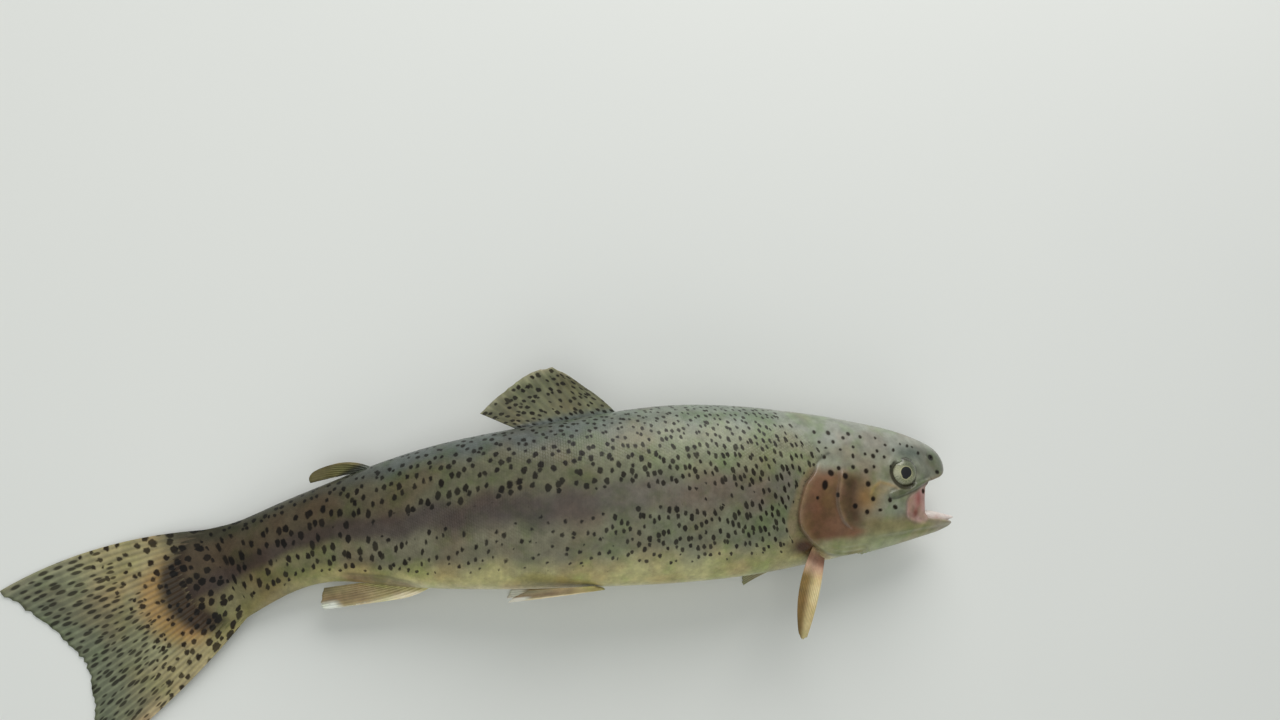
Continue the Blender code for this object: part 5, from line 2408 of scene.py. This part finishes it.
    @staticmethod
    def dorsal_colour(u: Array, v: Array) -> Array:
        """Olive, paler along its outer edge."""
        return blend(flat(tint(112, 112, 84), u), tint(150, 148, 118), ease(v, 0.8, 1.0))

    @staticmethod
    def adipose_colour(u: Array, v: Array) -> Array:
        """Olive, browner along its upper edge and darker at its root."""
        colour = blend(flat(tint(116, 112, 70), u), tint(122, 108, 66), 1 - ease(u, 0.0, 0.3))
        return blend(colour, tint(46, 42, 26), 1 - ease(v, 0.04, 0.3))

    @staticmethod
    def anal_colour(u: Array, v: Array) -> Array:
        """Tan rays behind a cream leading edge and a white tip.

        Args:
            u, v: Shares across the fin and out along its rays.

        Returns:
            The colours.
        """
        colour = flat(tint(178, 160, 116), u)
        colour = blend(colour, tint(122, 94, 62), bell(u - 0.5, 0.25) * ease(v, 0.2, 0.6) * 0.6)
        colour = blend(colour, tint(112, 106, 72), ease(u, 0.6, 0.9) * ease(v, 0.5, 0.9) * 0.7)
        colour = blend(colour, tint(250, 238, 200), 1 - ease(u, 0.10, 0.28))
        return blend(colour, tint(244, 247, 234), ease(v, 0.74, 0.86) * (1 - ease(u, 0.32, 0.55)))

    @staticmethod
    def pectoral_colour(u: Array, v: Array) -> Array:
        """Yellow cream along the front rays and tan behind.

        Args:
            u, v: Shares across the fin and out along its rays.

        Returns:
            The colours.
        """
        colour = blend(flat(tint(232, 216, 164), u), tint(140, 114, 62), ease(u, 0.25, 0.75))
        colour = blend(colour, tint(206, 172, 148), 1 - ease(v, 0.10, 0.28))
        colour = blend(colour, tint(138, 104, 84), 1 - ease(v, 0.02, 0.14))
        return blend(colour, tint(138, 114, 68), ease(v, 0.7, 1.0) * 0.4)

    @staticmethod
    def far_pectoral_colour(u: Array, v: Array) -> Array:
        """Pale and a little green, as the side away from the light."""
        return flat(tint(170, 172, 132), u) * (1 - 0.2 * ease(u, 0.2, 0.8))[..., None]

    @staticmethod
    def caudal_colour(u: Array, v: Array) -> Array:
        """Olive cream, greyer at the rear edge and tan along the lower one.

        Args:
            u, v: Shares across the fin and out along its rays.

        Returns:
            The colours.
        """
        colour = blend(flat(TAIL_FIN, u), TAIL_EDGE, ease(v, 0.55, 0.95) * 0.85)
        colour = blend(colour, tint(196, 178, 136), (1 - ease(u, 0.0, 0.10)) * 0.8)
        return blend(colour, tint(165, 160, 130), ease(u, 0.93, 1.0) * 0.5)

    def build(self, finish: WetHide) -> None:
        """Makes every fin.

        Args:
            finish: What it is dressed in.
        """
        material = finish.material()
        for fin in self.all():
            places, u, v = fin.grid()
            middle = self.plan.place(places)
            normal = unit(np.cross(np.gradient(middle, axis=0), np.gradient(middle, axis=1)))
            half = fin.thickness(u, v)[..., None]
            lowest = FLOOR_CLEARANCE + np.abs(half[..., 0] * normal[..., 2])
            middle[..., 2] = np.maximum(middle[..., 2], lowest)
            mesh = self.solid(fin.node, middle + normal * half, middle - normal * half)
            self.looks(fin, u, v, places).attach(mesh)
            piece = show(f"{fin.node}_rays", mesh, material)
            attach(piece, ROOT_BODY)
            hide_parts(fin.node)
            report(piece)

    def hide(self, fin: Fin, u: Array, v: Array, places: Array) -> Array:
        """The fin's colours, running into the body's at its base.

        Args:
            fin: The fin.
            u: Shares across it.
            v: Shares out along its rays.
            places: Places in the fish, (back, rise, out).

        Returns:
            The colours.
        """
        back, rise = places[..., 0], places[..., 1]
        share = np.clip(self.plan.share_at(rise, self.plan.along_at(back, rise)), 0, 1)
        colour = mix(self.markings.body_hide(back, share), fin.colour(u, v), ease(v, *fin.joins)[..., None])
        if fin.node == TAIL_FIN_NODE:
            colour = self.markings.tail_tones(colour, back, rise)
        return colour * (1 - fin.stripes(u, v))[..., None]

    def looks(self, fin: Fin, u: Array, v: Array, places: Array) -> Looks:
        """The fin's colours, spots and streaks for both of its sides.

        Args:
            fin: The fin.
            u: Shares across it.
            v: Shares out along its rays.
            places: Places in the fish, (back, rise, out).

        Returns:
            What the fin's points carry.
        """
        length = np.linalg.norm(places[:, -1] - places[:, 0], axis=-1).mean()
        width = np.linalg.norm(np.diff(places, axis=0), axis=-1).sum(0).mean()
        if fin.node == TAIL_FIN_NODE:
            fan = self.plan.fan
            ray, reach = fan.shares(*fan.frame(places[..., 0], places[..., 1]))
            small = mix(self.markings.web_spot, 0.8, ease(v, 0.15, 0.5))
            lie = np.stack([*fan.cells(ray, reach), small], -1)
            density = self.markings.web_density * (1 - ease(v, 0.50, 0.72))
        else:
            lie = np.stack([v * length / 3.4 + len(fin.node) * 3.7, u * width / 3.0, 0 * u + 1], -1)
            density = fin.spotted * (1 - 0.35 * ease(v, 0.75, 1.0))
        trait = np.stack([0 * u, density + 0 * u, 0 * u], -1)
        streak = np.stack([v * length / 6.0, u * fin.rays * 1.15, fin.streaked * ease(v, 0.42, 0.62)], -1)
        parts = self.hide(fin, u, v, places), lie, trait, streak
        return Looks(*(np.concatenate([part.reshape(-1, 3)] * 2) for part in parts))

    @staticmethod
    def solid(name: str, upper: Array, lower: Array) -> bpy.types.Mesh:
        """A closed mesh between two grids of points.

        Args:
            name: The mesh's name.
            upper: The upper grid.
            lower: The lower grid.

        Returns:
            The mesh.
        """
        rows, columns = upper.shape[:2]
        number = np.arange(rows * columns).reshape(rows, columns)
        sides = []
        for grid, order in ((number, 1), (number + rows * columns, -1)):
            square = grid[:-1, :-1], grid[1:, :-1], grid[1:, 1:], grid[:-1, 1:]
            sides.append(np.stack(square[::order], -1).reshape(-1, 4))
        loop = np.concatenate([number[:-1, 0], number[-1, :-1], number[:0:-1, -1], number[0, :0:-1]])
        after = np.roll(loop, -1)
        rim = np.stack([after, loop, loop + rows * columns, after + rows * columns], 1)
        points = np.concatenate([upper.reshape(-1, 3), lower.reshape(-1, 3)])
        return close_up(build_mesh(name, points, np.concatenate([*sides, rim])))


# ---- The studio ----


@dataclass(frozen=True)
class Softbox:
    """One soft light, aimed at a point."""

    name: str
    place: Triple
    aim: Triple
    size: float
    power: float
    colour: Triple = (1.0, 1.0, 1.0)

    def build(self) -> None:
        """Hangs the light."""
        lamp = bpy.data.lights.new(self.name, "AREA")
        lamp.shape, lamp.size, lamp.energy, lamp.color = "DISK", self.size, self.power, self.colour
        hung = bpy.data.objects.new(self.name, lamp)
        hung.location = self.place
        hung.rotation_mode = "QUATERNION"
        hung.rotation_quaternion = (Vector(self.aim) - Vector(self.place)).to_track_quat("-Z", "Y")
        bpy.context.scene.collection.objects.link(hung)


@dataclass
class Studio:
    """The pale floor, the soft light and the camera over the fish's right side."""

    eye: Triple = (-0.0782, -0.0020, 0.3929)
    turn: float = 11.0
    tip: float = 8.4
    lens: float = 25.7
    sky: float = 0.28
    reach: float = 3.0
    lights: tuple[Softbox, ...] = (
        Softbox("key", (0.15, 1.16, 0.68), (0.0, 0.0, 0.02), 1.3, 16.5, (1.0, 0.99, 0.97)),
        Softbox("fill", (-0.35, -0.25, 1.20), (0.0, 0.0, 0.02), 1.2, 3.6, (0.97, 1.0, 0.95)),
        Softbox("bounce", (0.0, -1.10, 0.45), (0.0, 0.0, 0.02), 1.2, 4.0, (1.0, 1.0, 0.93)),
    )

    def build(self) -> None:
        """Sets everything up."""
        self.lay_floor()
        self.hang_lights()
        self.set_camera()

    def lay_floor(self) -> None:
        """A wide flat floor just under the fish."""
        corners = np.array([(-1, -1, 0), (1, -1, 0), (1, 1, 0), (-1, 1, 0)]) * self.reach / MM
        mesh = build_mesh("floor", corners, np.array([[0, 1, 2, 3]]))
        floor = show("floor", mesh, StudioFloor().material())

    def hang_lights(self) -> None:
        """A broad key from over the back, weak fills from above and below the belly, and an even pale sky."""
        for light in self.lights:
            light.build()
        world = bpy.data.worlds.new("studio_sky")
        world.use_nodes = True
        background = world.node_tree.nodes["Background"]
        background.inputs["Color"].default_value = (0.92, 0.97, 1.0, 1)
        background.inputs["Strength"].default_value = self.sky
        bpy.context.scene.world = world

    def set_camera(self) -> None:
        """A camera that looks down on the right side, turned a little towards the head and the back."""
        turn, tip = math.radians(self.turn), math.radians(self.tip)
        ahead = Vector((math.sin(turn) * math.cos(tip), math.sin(tip), -math.cos(turn) * math.cos(tip)))
        right = Vector((math.cos(turn), 0, math.sin(turn)))
        up = right.cross(ahead)
        camera = bpy.data.objects.new("camera", bpy.data.cameras.new("camera"))
        camera.data.lens = self.lens
        camera.data.clip_start = 0.01
        camera.matrix_world = Matrix.Translation(self.eye) @ Matrix((right, up, -ahead)).transposed().to_4x4()
        bpy.context.scene.collection.objects.link(camera)
        bpy.context.scene.camera = camera
        bpy.context.scene.view_settings.view_transform = "Standard"


def main() -> None:
    """Builds the trout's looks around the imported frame."""
    logging.basicConfig(level=logging.INFO, format="%(message)s")
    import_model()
    plan = BodyPlan()
    form = HeadForm(plan)
    markings = Markings(plan, form)
    hide = WetHide("wet_hide")
    Skin(plan, HeadSculpt(form), markings).build(hide)
    ScaleCoat(plan, markings).build(WetHide("scale_hide"))
    Eyes(form).build(EyeGlaze())
    Tongue(plan).build(MouthFlesh())
    Fins(plan, markings).build(WetHide("fin_hide", roughness=0.45, streaked=True, leafy=0.3))
    Studio().build()


if __name__ == "__main__":
    main()
